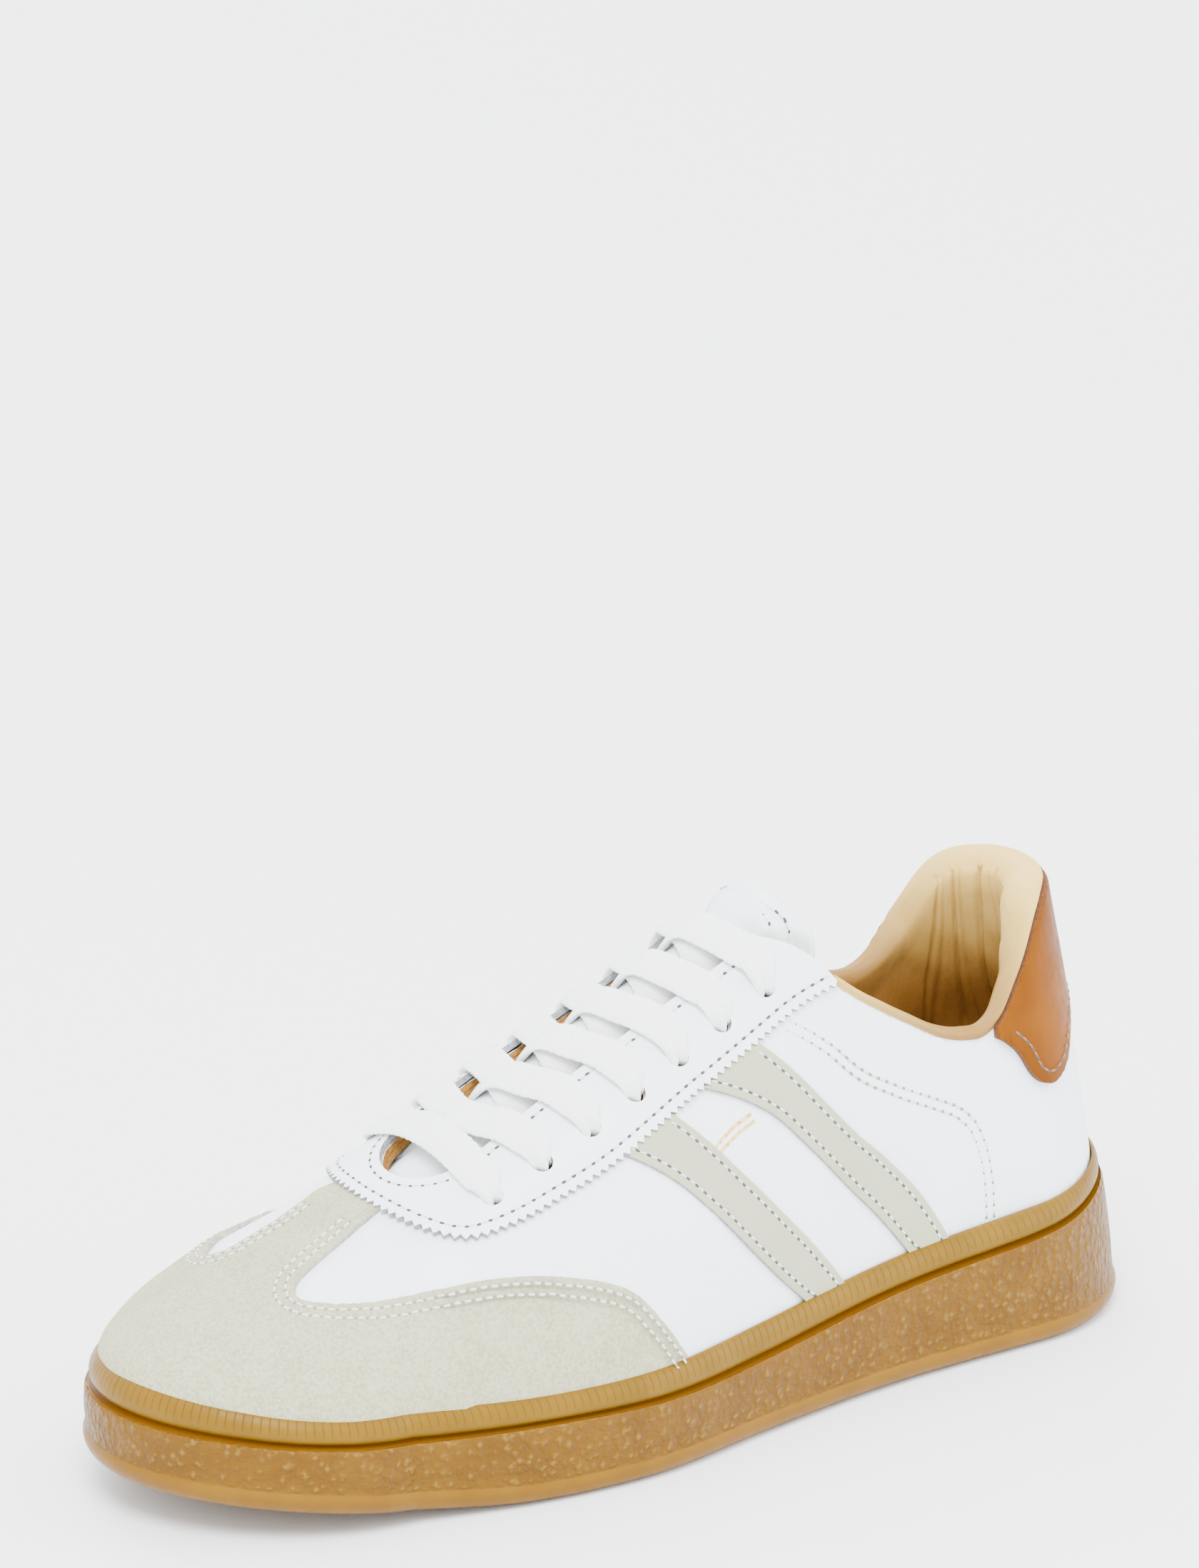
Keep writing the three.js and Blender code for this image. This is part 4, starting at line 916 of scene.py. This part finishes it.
def toe_cap():
    outer, inner = cap_side(-1), cap_side(1)
    end_x, end_half = -68.2, 9.2
    end = plan([[end_x, curve(SPINE_Y, end_x) + k * end_half] for k in np.linspace(-1, 1, 9)])
    foot = np.vstack([rand_line(-1)[1:], rand_line(1)[::-1][1:-1]])
    outline = np.vstack([outer[::-1], foot, inner, end[::-1]])
    piece = cut("toe_cap_suede", outline, [M["suede"], M["suede_edge"]], *TOE_CAP, spacing=1.9, edge=0.7,
                waves=0.18, lift=skive, seed=5)
    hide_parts("toe_cap")
    rows = []
    for edge, sign in ((outer, 1), (inner, -1)):
        inside_path = even(edge[:-6], 1.0)
        for away in (2.0, 4.4):
            rows.append(smooth(beside(inside_path, sign * away)[2:-3:3], 4))
    piece = sew("toe_cap_stitches", rows, M["thread_cream"], M["hole_soft"], TOE_CAP[1], 2.5, 1.75, 0.3)


# Side view of the front and the back edge of each band.
STRIPES = {
    "rear": ([[6, 79.5], [13, 76.5], [21.5, 70.8], [29, 62.9], [39, 51.5], [49, 40.8], [57.5, 28]],
             [[22.5, 85.8], [27, 81.5], [36, 71], [43.5, 62.5], [51.5, 54.8], [61.5, 43.7], [69.5, 29]]),
    "front": ([[-20, 70.2], [-14.5, 67], [-9, 62.6], [-3.5, 57], [6, 46.5], [15.5, 36], [24.5, 25]],
              [[-5, 75.9], [0.5, 70.5], [8, 62], [14.5, 54.8], [20.5, 48], [29, 38.5], [37, 26]])}


def stripe(side, label, which):
    drop = 0 if side < 0 else 1
    edges = [at_height(side, [[x, z - drop] for x, z in e]) for e in STRIPES[which]]
    # Each band starts under the eyestay.
    tops = [2.2 * unit((e[0] - e[1])[None])[0] + e[0] for e in edges]
    front, back = (smooth(np.vstack([t, e]), 10) for t, e in zip(tops, edges))
    outline = np.vstack([front, back[::-1]])
    piece = cut(f"stripe_{which}_{label}_leather", outline, [M["stripe"], M["edge"]], *BAND, spacing=1.8,
                edge=0.45, waves=0.06, seed=11)
    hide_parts(f"stripe_{which}_{label}")
    sign = 1 if side < 0 else -1
    rows = [beside(even(front, 1.0), sign * 2.0)[3:], beside(even(back, 1.0), -sign * 2.0)[3:]]
    piece = sew(f"stripe_{which}_{label}_stitches", rows, M["thread_white"], M["hole"], BAND[1], 2.7, 1.55,
                0.27)


def facing_side(side, inset=0.0, front=EYESTAY_STATIONS[-1]):
    """Pattern points of the eyestay's outer edge on one side, moved in and ending at a front line."""
    stations = zip(EYESTAY_STATIONS, EYESTAY_OUTER[side])
    return plan([[max(x, front), THROAT_Y + side * (h - inset)] for x, h in stations])


def facing_outer():
    """The eyestay's outer edge, from the outer side round the front to the inner side."""
    return smooth(np.vstack([facing_side(-1), facing_side(1)[::-1][1:]]), 14)


def pinked(path):
    """Zigzag along a path: corners alternate between the path and a line outside it."""
    pitch, depth = 2.3, 1.25
    corners = even(path, pitch / 2)
    tips = beside(corners, depth)
    return np.where((np.arange(len(corners)) % 2 == 0)[:, None], corners, tips)


def eyestay():
    outer = facing_outer()
    lateral_in, medial_in = throat_edge(-1), throat_edge(1)
    outline = np.vstack([pinked(outer), facing_end(1)[::-1][1:-1], medial_in[::-1], lateral_in[1:],
                         facing_end(-1)[1:-1]])
    piece = cut("eyestay_leather", outline, [M["white"], M["edge"]], *EYESTAY, holes(), spacing=2.0, edge=0.0,
                waves=0.1, seed=8)
    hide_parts("eyestay")
    near_edge = smooth(beside(even(outer, 1.0), -1.9)[2:-2:4], 6)
    throat = np.vstack([medial_in[::-1], lateral_in[1:]])
    near_throat = smooth(beside(even(throat, 1.0), -2.3)[2:-2:4], 6)
    piece = sew("eyestay_stitches", [near_edge, near_throat], M["thread_white"], M["hole"], EYESTAY[1],
                2.8, 1.6, 0.28)


def eyestay_backing():
    outer = np.vstack([facing_side(-1, 0.6, -69)[:-1], facing_side(1, 0.6, -69)[:-1][::-1]])
    outline = np.vstack([smooth(outer, 8), facing_end(1)[::-1][1:-1], throat_edge(1)[::-1][:-2],
                         throat_edge(-1)[2:], facing_end(-1)[1:-1]])
    piece = cut("eyestay_backing_split", outline, [M["backing"], M["backing"]], *BACKING, holes(),
                spacing=2.4, edge=0.3, seed=9)
    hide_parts("eyestay_backing")


def heel_tab():
    start, steps = 88.3, 70
    lower, upper = (np.vstack([height_line(-1, start, steps, table, drop),
                               height_line(1, start, steps, table, drop)[::-1][1:]])
                    for table, drop in ((TAB_LOWER_Z, 0), (TOPLINE_Z, 0.2)))
    outline = np.vstack([lower, upper[::-1]])
    piece = cut("heel_tab_leather", outline, [M["tan"], M["raw"]], *TAB, spacing=1.6, edge=0.8, waves=0.15,
                seed=12)
    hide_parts("heel_tab")
    inner = beside(even(lower, 1.0), 3.1)
    rows = [smooth(inner[4:-4:3], 5)]
    piece = sew("heel_tab_stitches", rows, M["thread_brown"], M["hole"], TAB[1], 2.6, 1.6, 0.3)


# Side view of the stitch line over the edge of the heel counter.
COUNTER_LINE = [[31, 88.6], [39.5, 82.6], [47.5, 75], [57.5, 68.8], [68.5, 63.2], [75.5, 59.4], [79.8, 54.6],
                [82, 48], [82.8, 41], [82.5, 30]]


def counter_stitches():
    rows = []
    for side in (-1, 1):
        drop = 0 if side < 0 else 1
        line = even(smooth(at_height(side, [[x, z - drop] for x, z in COUNTER_LINE]), 10), 1.0)
        rows += [beside(line, away) for away in (-1.15, 1.15)]
    piece = sew("counter_stitches", rows, M["thread_white"], M["hole_soft"], 0.0, 2.7, 1.75, 0.3)


def foil_bars():
    """Two plain foil lines on the outer quarter."""
    base = even(smooth(at_height(-1, [[3.6, 67.2], [9.5, 70], [15.5, 72]]), 10), 1.0)
    for k, away in enumerate((-0.9, 0.9)):
        line = beside(base, away)
        outline = np.vstack([beside(line, -0.35), beside(line, 0.35)[::-1]])
        piece = cut(f"foil_line_{k + 1}", outline, [M["foil"]], -0.05, 0.07, spacing=0.9, edge=0.0)


# ---- collar and linings
# Section of the collar's roll: lift, and rise above the topline.
ROLL = [[0.25, -0.6], [0.75, 0.5], [0.7, 1.4], [-0.4, 2.5], [-2.4, 3.1], [-4.6, 3.1], [-6.9, 2.2],
        [-8.5, 0.4], [-9.0, -2], [-8.8, -8]]


def heel_ribs(start, count):
    """Ribs from one side round the heel to the other side, evenly spaced in plan."""
    u = np.concatenate([np.linspace(start, HEEL_PIVOT, 60)[:-1], np.linspace(HEEL_PIVOT, HEEL_BACK, 60)])
    side = np.concatenate([np.full(len(u), -1.0), np.full(len(u) - 1, 1.0)])
    both = np.concatenate([u, u[-2::-1]])
    r = Ribs(side, both)
    q = np.stack([r.x + r.dx * r.upper, r.y + r.dy * r.upper], -1)
    s = run(q)
    half = HEEL_BACK - start
    turn = np.concatenate([u - start, 2 * half - (u[-2::-1] - start)])
    along = np.linspace(0, s[-1], count)
    at = np.interp(along, s, turn)
    return Ribs(np.where(at < half, -1.0, 1.0), start + np.where(at < half, at, 2 * half - at)), along


def collar_rows(r, section, seam_depth, rows_down):
    """Rows of points over the roll and down its inner wall to the seam; the roll is fuller at the heel."""
    top = curve(TOPLINE_Z, r.u)
    fullness = 0.42 + 0.58 * ease((r.u - 84) / 28)
    out = []
    for depth, rise in section:
        p = r.pattern(r.at_height(top + min(0, rise)))
        across = np.where(depth > QUARTER[0], depth, QUARTER[0] + (depth - QUARTER[0]) * fullness)
        q = on_skin(p, across)
        q[:, 2] += max(0, rise) * (0.6 + 0.4 * fullness)
        out.append(q)
    start_z = top + section[-1][1]
    seam = curve(LINING_SEAM_Z, r.u)
    start_depth = QUARTER[0] + (section[-1][0] - QUARTER[0]) * fullness
    for k in range(1, rows_down + 1):
        f = k / rows_down
        z = start_z + (seam - start_z) * f
        depth = start_depth + (seam_depth - start_depth) * f - 1.1 * np.sin(np.pi * f) * fullness
        out.append(on_skin(r.pattern(r.at_height(z)), depth))
    return np.stack(out, 1)


def wrinkled(rows, r, s):
    """Upright wrinkles at the heel and slanting folds at the sides, strongest on the inner wall."""
    n, m, _ = rows.shape
    level = np.linspace(0, 1, m)[None, :]
    wall = ease((level - 0.34) / 0.16) * ease((1.03 - level) / 0.08)
    rim = ease((level - 0.05) / 0.1) * (1 - wall)
    back = ease((r.u[:, None] - 99) / 12)
    side = ease((74 - r.u[:, None]) / 16) * ease((r.u[:, None] - 48) / 6)
    wave = s[:, None] + 1.6 * np.sin(level * 7 + s[:, None] * 0.21)
    drift = 3.5 * np.sin(s * 0.083 + 1)[:, None]
    folds = np.maximum(0, np.sin((wave + drift) * 2 * np.pi / 13.7)) ** 7
    folds = folds + 0.5 * np.maximum(0, np.sin((wave - drift) * 2 * np.pi / 9.1 + 1)) ** 8
    slant = np.maximum(0, np.sin((s[:, None] + 22 * level + drift) * 2 * np.pi / 12.3 + 0.8)) ** 4
    soft = hills(rows.reshape(-1, 3), 15, 21).reshape(n, m) * 0.35
    depth = wall * (back * 0.9 * folds + side * 0.8 * slant) + soft * (wall + 0.45 * rim)
    along = unit(np.gradient(rows, axis=0))
    down = unit(np.gradient(rows, axis=1))
    normal = unit(np.cross(along, down))
    centre = np.stack([np.full(n, 80.0), curve(SPINE_Y, np.full(n, 80.0)), rows[:, -1, 2]], -1)[:, None, :]
    flip = np.sign(((rows - centre) * normal).sum(-1, keepdims=True))
    return rows + normal * flip * depth[..., None]


def closed_band(name, rows_out, rows_in, materials, sharp=50, body="shoe"):
    """A closed solid between two matching grids of points."""
    ring = np.concatenate([rows_out, rows_in[:, ::-1]], 1)
    n, k = ring.shape[:2]
    faces = list(map(tuple, grid_faces(n, k)))
    faces += [(i * k + k - 1, (i + 1) * k + k - 1, (i + 1) * k, i * k) for i in range(n - 1)]
    faces += [tuple(range(k)), tuple(range((n - 1) * k, n * k))[::-1]]
    points = ring.reshape(-1, 3)
    middle = points.mean(0)
    a, b, c = (points[[f[j] for f in faces]] - middle for j in range(3))
    if np.einsum("ij,ij->i", a, np.cross(b, c)).sum() < 0:
        faces = [f[::-1] for f in faces]
    return to_object(name, points, faces, materials, body, sharp=sharp)


def collar():
    """Lining of the rolled collar with the fullness of its foam, and the stitches of its lower seam."""
    r, s = heel_ribs(FACING_END + 0.2, 320)
    section = smooth(ROLL, 4)
    rows = wrinkled(collar_rows(r, section, -4.6, 26), r, s)
    along, down = unit(np.gradient(rows, axis=0)), unit(np.gradient(rows, axis=1))
    normal = unit(np.cross(along, down))
    outward = np.stack([r.dx, r.dy, 0 * r.dx], -1)[:, None, :]
    sign = np.sign((normal[:, -8:] * outward).sum(-1).mean())
    piece = closed_band("collar_lining_leather", rows, rows + normal * sign * 0.8, [M["lining"]])
    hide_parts("collar_lining", "collar_foam")
    seam = curve(LINING_SEAM_Z, r.u)
    path = r.pattern(r.at_height(seam + 2.2))[14:-14]
    piece = sew("collar_seam_stitches", [path], M["thread_tan"], M["hole_soft"], -5.75, 3.4, 2.0, 0.3)


def standing_lining(name, node, ribs, top_share, material, count=26):
    """A lining that stands on the sole inside the upper, up to a share of each rib."""
    z = ribs.rand - 4
    rows = []
    for depth in LINING:
        reach = ribs.upper + depth
        grid = [np.stack([ribs.x + ribs.dx * reach, ribs.y + ribs.dy * reach, z], -1)]
        for f in np.linspace(0, 1, count):
            grid.append(on_skin(ribs.pattern(1 + (top_share - 1) * f), depth))
        rows.append(np.stack(grid, 1))
    piece = closed_band(name, rows[0], rows[1], [material])
    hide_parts(node)
    return piece


def linings():
    r, _ = heel_ribs(FACING_END, 160)
    top = r.at_height(curve(LINING_SEAM_Z, r.u) + 3)
    piece = standing_lining("quarter_lining_leather", "quarter_lining", r, top, M["footbed"])
    for side, label in ((-1, "lateral"), (1, "medial")):
        u = np.concatenate([np.linspace(TOE_TIP, TOE_PIVOT, 40)[:-1],
                            np.linspace(TOE_PIVOT, FACING_END, 110)])
        r = Ribs(np.full(len(u), side), u)
        x = np.minimum(u, 29)
        half = (facing_half(side, x) + 0.4) * ease((x + 68) / 10)
        reach = half + side * (THROAT_Y - r.y)
        found = r.share(lambda p: np.abs(p[..., 1] - r.y), np.maximum(reach, 0))
        share = np.where((u <= THROAT_FRONT) | (reach <= 0), 0, found)
        name = f"vamp_lining_{label}"
        piece = standing_lining(name + "_leather", name, r, share, M["lining"], 22)


SOCKLINER_THICKNESS = 3.3


def sockliner():
    r, _ = outline_ribs(360)
    inset = curve(UPPER_INSET, r.u) + 5.0
    rows = []
    for f, lift in ((0, 0), (0.35, 0), (0.7, 0.1), (0.88, 0.5), (0.96, 1.0), (1.0, 1.1), (1.0, -0.2)):
        reach = (r.radius - inset) * f
        x = r.x + r.dx * reach
        rim = r.x + r.dx * r.radius * f
        rows.append(np.stack([x, r.y + r.dy * reach, curve(RAND_Z, rim) - 0.5 + lift], -1))
    top = np.stack(rows, 1)
    low = top.copy()
    low[:, :, 2] -= SOCKLINER_THICKNESS
    ring = np.concatenate([top, low[:, ::-1]], 1)
    faces = grid_faces(len(r.u), ring.shape[1], wrap=True, flip=True)
    piece = to_object("sockliner_leather", ring.reshape(-1, 3), faces, [M["footbed"]], merge=True)
    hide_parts("sockliner")


# ---- tongue
TONGUE_BASE, TONGUE_END, TONGUE_FLARE = -67.0, 37.5, 12.0
TONGUE_HALF = {-1: [[-67, 14], [-56, 17], [-20, 17.5], [12, 16.5], [24, 17.5], [32, 19.6], [40, 21.8],
                    [46, 22.2]],
               1: [[-67, 14], [-56, 17], [-20, 17], [12, 15.5], [24, 15.3], [32, 17.5], [40, 19], [46, 19]]}


def tongue_plan(along, across):
    """Plan point of the tongue at shares along it and across it."""
    corner = ease((np.abs(across) - 0.72) / 0.28) ** 1.5
    end = TONGUE_END + TONGUE_FLARE * across**2 - 4 * corner
    x = TONGUE_BASE + (end - TONGUE_BASE) * along
    half = np.where(across < 0, curve(TONGUE_HALF[-1], x), curve(TONGUE_HALF[1], x))
    return x, across * half


def tongue_middle(x, offset, side, top):
    """Lift that crests along the middle of the tongue."""
    crest = np.clip(1 - (offset / 11) ** 2, 0, 1)
    return side + (top - side) * crest * ease((x + 67) / 7)


def tongue_lifts(x, offset):
    """Lifts of the face and of the underside."""
    past = x - FACING_INNER_END - 15 * np.clip((np.abs(offset) - THROAT_HALF) / 9, 0, 1.2)
    free = ease((past + 1) / 6)
    face = tongue_middle(x, offset, -4.4 + 2.6 * free, -2.3 + 1.8 * ease((x - 24) / 12))
    face = face + 1.6 * free * ease(offset / 10)
    under = tongue_middle(x, offset, -7 + 3.2 * ease((x - 32) / 8), -5.3 + 4.8 * ease((x - 24) / 12)) - 6.1
    return face, under


def tongue_point(along, across, lift):
    x, offset = tongue_plan(along, across)
    return on_skin(plan(np.stack([x, THROAT_Y + offset], -1)), lift)


def tongue():
    """Padded face, lining and stitches of the tongue."""
    rows = 1 - (1 - np.linspace(0, 1, 150)) ** 1.25
    columns = np.sin(np.linspace(-1.5708, 1.5708, 61))
    along, across = np.meshgrid(rows, columns, indexing="ij")
    face, under = tongue_lifts(*tongue_plan(along, across))
    flat = tongue_point(along, across, face)
    border = np.vstack([flat[:, 0], flat[-1], flat[:, -1]])
    away = nearest(flat.reshape(-1, 3), border).reshape(along.shape)
    round_edge = 1 - np.sqrt(1 - (1 - np.clip(away / 3.2, 0, 1)) ** 2)
    folds = hills(flat.reshape(-1, 3), 21, 31).reshape(along.shape) * ease(away / 7)
    channel = np.exp(-(((away - 5.6) / 1.3) ** 2)) + 0.8 * np.exp(-((away - 3.3) ** 2))
    puff = 0.6 * ease((away - 5) / 6) - 0.4 * channel + 0.4 * folds
    seam = (face + under) / 2
    top = face - (face - seam) * round_edge + puff
    bottom = under + (seam - 0.45 - under) * round_edge
    inner_face, inner_lining = np.minimum(top - 0.12, under + 4.75), np.maximum(bottom + 0.3, under + 1.0)
    shell = [tongue_point(along, across, lift) for lift in (top, inner_face)]
    lining = [tongue_point(along, across, lift) for lift in (inner_lining, bottom)]
    piece = closed_band("tongue_shell_leather", *shell, [M["tongue"]], 70, "tongue")
    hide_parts("tongue_shell")
    piece = closed_band("tongue_lining_leather", *lining, [M["lining"]], 70, "tongue")
    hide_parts("tongue_lining")
    rows = [tongue_row(inset, 2.7) for inset in (3.4, 5.7)]
    piece = threads("tongue_stitches", rows, [M["thread_white"], M["hole"]], 2.7, 1.6, 0.28, "tongue",
                    lifts=(0.15, 0.05))


def tongue_row(inset, pitch):
    """A stitch row inside the tongue's edge: up one side, round both corners and down the other side."""
    far, wide = 1 - inset / 104, 1 - inset / 20
    turn = np.linspace(0, 1, 40) * np.pi / 2
    side = np.linspace(0.45, far - 0.07, 60)
    along = np.concatenate([side, far - 0.07 + 0.07 * np.sin(turn)[1:]])
    across = np.concatenate([np.full(60, -wide), -wide * (0.66 + 0.34 * np.cos(turn)[1:])])
    middle = np.linspace(-0.66 * wide, 0.66 * wide, 40)[1:-1]
    along = np.concatenate([along, np.full(38, far), along[::-1]])
    across = np.concatenate([across, middle, -across[::-1]])
    x, offset = tongue_plan(along, across)
    near = plan(np.stack([x, THROAT_Y + offset], -1))
    points = on_skin(near, tongue_lifts(x, offset)[0] - 0.35)
    s = run(points)
    at = np.linspace(0, s[-1], int(s[-1] / pitch))
    return at_lengths(at, s, points), at_lengths(at, s, near)


# ---- lace
LACE_WIDTH, LACE_THICKNESS, LACE_PINCHED = 9.2, 1.7, 4.7
LACE_STEP = 0.62
# Side view and lift of each end of the lace, down inside the shoe.
TAIL = [[29.5, 89, -5.4], [32, 80, -5.9], [34, 68, -6.3], [33, 56, -7.0], [24, 47, -9.5], [10, 41, -11]]


def lace_half(side):
    """Control points and width shares of one half of the lace, from its first eyelet on the given side."""
    points, widths = [], []

    def put(x, across, lift, width):
        points.append(on_skin(plan([[x, THROAT_Y + across]]), lift)[0])
        widths.append(width)

    for n, x in enumerate(EYELET_X):
        hole = eyelet(side, n)
        reach = abs(skin(hole)[1] - THROAT_Y)
        # The lace narrows into its eyelet, later on the inner side.
        near, pinched = (0.45, 0.08) if side < 0 else (0.8, 0.25)
        put(x, side * (reach - 4.6), 3.0, 0.95)
        put(x, side * (reach - 1.5), 3.1, near)
        put(x, side * (reach + 0.35), 1.0, pinched)
        put(x, side * (reach + 0.2), -1.6, 0.05)
        put(x, side * (reach - 2.0), -4.0, 0.5)
        if n == len(EYELET_X) - 1:
            break
        step = EYELET_X[n + 1] - x
        put(x + step * 0.18, side * 12.4, -4.1, 0.95)
        put(x + step * 0.36, side * 6.6, -1.1, 1.0)
        put(x + step * 0.52, 0.0, 2.0 if side > 0 else -0.1, 1.0)
        next_reach = abs(skin(eyelet(-side, n + 1))[1] - THROAT_Y)
        put(x + step * 0.68, -side * min(7.5, next_reach - 9.8), 2.2 if side > 0 else 1.5, 1.0)
        put(x + step * 0.86, -side * min(12.8, next_reach - 6.6), 3.0, 1.0)
        side = -side
    for x, z, lift in TAIL:
        points.append(on_skin(at_height(side, [[x, z]]), lift)[0])
        widths.append(0.9)
    return points, widths


def lace():
    """A flat woven lace along its path, pinched at the eyelets and slightly cupped."""
    first, first_width = lace_half(-1)
    second, second_width = lace_half(1)
    bar = [on_skin(plan([[EYELET_X[0], THROAT_Y + y]]), 2.9)[0] for y in (-8, 0, 8)]
    control = np.array([*first[::-1], *bar, *second])
    width = np.array([*first_width[::-1], 1, 1, 1, *second_width])
    path = smooth(np.column_stack([control, width * 8]), 12)
    s = run(path[:, :3])
    at = np.arange(0, s[-1], LACE_STEP)
    path = at_lengths(at, s, path)
    q, share = path[:, :3], np.clip(path[:, 3] / 8, 0, 1)
    t = unit(np.gradient(q, axis=0))
    up = skin_normal(plan(q[:, :2]))
    flat_way = np.cross(up, t)
    weight = np.linalg.norm(flat_way, axis=1, keepdims=True) ** 2
    flat_way = np.where(flat_way[:, :1] < 0, -1, 1) * flat_way + np.array([0.25, 0, 0.1]) * (1 - weight)
    for _ in range(10):
        flat_way = (np.roll(flat_way, 1, 0) + flat_way * 2 + np.roll(flat_way, -1, 0)) / 4
    w = unit(flat_way - t * (flat_way * t).sum(-1, keepdims=True))
    d = np.cross(t, w)
    half = (LACE_PINCHED + (LACE_WIDTH - LACE_PINCHED) * ease(share)) / 2
    thick = (LACE_THICKNESS + 0.7 * (1 - ease(share))) / 2
    pinch = 1 - ease(share)
    angle = np.arange(28) * 2 * np.pi / 28
    ca, sa = np.cos(angle), np.sin(angle)
    wide = np.sign(ca) * np.abs(ca) ** 0.75
    high = np.sign(sa) * np.abs(sa) ** 0.8 * (1 - 0.12 * np.cos(2 * angle))
    within = 0.4 + 0.6 * (np.abs(wide[None]) < 0.9)
    crease = 0.85 * pinch[:, None] * np.cos(wide[None] * np.pi * 1.5) * within
    sway = hills(q, 9, 41)[:, None]
    cup = 0.22 * sway * wide[None] ** 2 + 0.18 * sway * wide[None]
    edge_bump = 1 + 0.02 * np.sin(at * 2 * np.pi / 2.2)[:, None] * np.abs(wide[None])
    ring = (q[:, None] + w[:, None] * (wide[None] * half[:, None] * edge_bump)[..., None]
            + d[:, None] * (high[None] * thick[:, None] + crease + cup)[..., None])
    n, k = len(q), len(angle)
    across = np.broadcast_to(wide[None] * LACE_WIDTH / 2, (n, k))
    flat = np.stack([np.broadcast_to(at[:, None], (n, k)), across], -1).reshape(-1, 2)
    ring = np.transpose(ring, (1, 0, 2)).reshape(-1, 3)
    flat = np.transpose(flat.reshape(n, k, 2), (1, 0, 2)).reshape(-1, 2)
    faces = [tuple(f) for f in grid_faces(k, n, wrap=True, flip=True)]
    faces += [tuple(j * n for j in range(k)), tuple(j * n + n - 1 for j in range(k))[::-1]]
    piece = to_object("flat_shoelace", ring, faces, [M["lace"]], flat=flat, sharp=70)
    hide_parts("shoelace")


# ---- pieces that stay as the CAD made them, inside the shoe, and the materials that they get
KEPT = {"midsole_foam": "foam", "insole_board": "board", "toe_puff": "stiffener", "heel_counter": "stiffener",
        "tongue_foam": "foam", "aglet_lateral": "plastic", "aglet_medial": "plastic"}


def dress_kept():
    for name, look in KEPT.items():
        node = bpy.data.objects[name]
        node.data.materials.clear()
        node.data.materials.append(M[look])


# ---- studio
def studio():
    mesh = bpy.data.meshes.new("floor")
    reach = 6.0
    corners = [(-reach, -reach, 0), (reach, -reach, 0), (reach, reach, 0), (-reach, reach, 0)]
    mesh.from_pydata(corners, [], [(0, 1, 2, 3)])
    floor = bpy.data.objects.new("floor", mesh)
    bpy.context.scene.collection.objects.link(floor)
    pale = Look("pale_floor", (0.88, 0.885, 0.89), 0.75)
    pale.color(pale.mix(pale.noise(400, 2), (0.875, 0.88, 0.885), (0.89, 0.895, 0.90)))
    mesh.materials.append(pale.material)
    world = bpy.data.worlds.new("studio")
    world.use_nodes = True
    sky = world.node_tree.nodes["Background"]
    sky.inputs["Color"].default_value = (0.95, 0.97, 1.0, 1)
    sky.inputs["Strength"].default_value = 3.3
    bpy.context.scene.world = world
    aim = Vector((0, 0, 0.05))
    lamps = (("key", (-0.9, -1.0, 2.2), 1.4, 135), ("fill", (1.8, -1.4, 1.2), 1.6, 44),
             ("rear", (0.6, 1.9, 1.6), 1.5, 48))
    for name, place, size, power in lamps:
        light = bpy.data.lights.new(name, "AREA")
        light.shape = "DISK"
        light.size = size
        light.energy = power
        lamp = bpy.data.objects.new(name, light)
        lamp.location = place
        lamp.rotation_euler = (aim - Vector(place)).to_track_quat("-Z", "Y").to_euler()
        bpy.context.scene.collection.objects.link(lamp)


def camera():
    turn, tilt, distance = np.radians(-37.0), np.radians(21.26), 2.71
    target = Vector((0.0011, -0.0021, 0.042))
    back = Vector((np.sin(turn) * np.cos(tilt), -np.cos(turn) * np.cos(tilt), np.sin(tilt)))
    data = bpy.data.cameras.new("camera")
    data.sensor_width, data.sensor_fit = 36, "VERTICAL"
    data.sensor_height = 36
    data.lens = 270.9
    data.shift_x, data.shift_y = -0.0148, 0.2771
    data.clip_end = 50
    view = bpy.data.objects.new("camera", data)
    view.location = target + back * distance
    view.rotation_euler = (-back).to_track_quat("-Z", "Y").to_euler()
    bpy.context.scene.collection.objects.link(view)
    bpy.context.scene.camera = view


def build():
    sole()
    for side, label in ((-1, "lateral"), (1, "medial")):
        quarter(side, label)
        for which in STRIPES:
            stripe(side, label, which)
    toe_cap()
    eyestay()
    eyestay_backing()
    heel_tab()
    counter_stitches()
    foil_bars()
    collar()
    linings()
    sockliner()
    tongue()
    lace()
    dress_kept()
    studio()
    camera()


build()
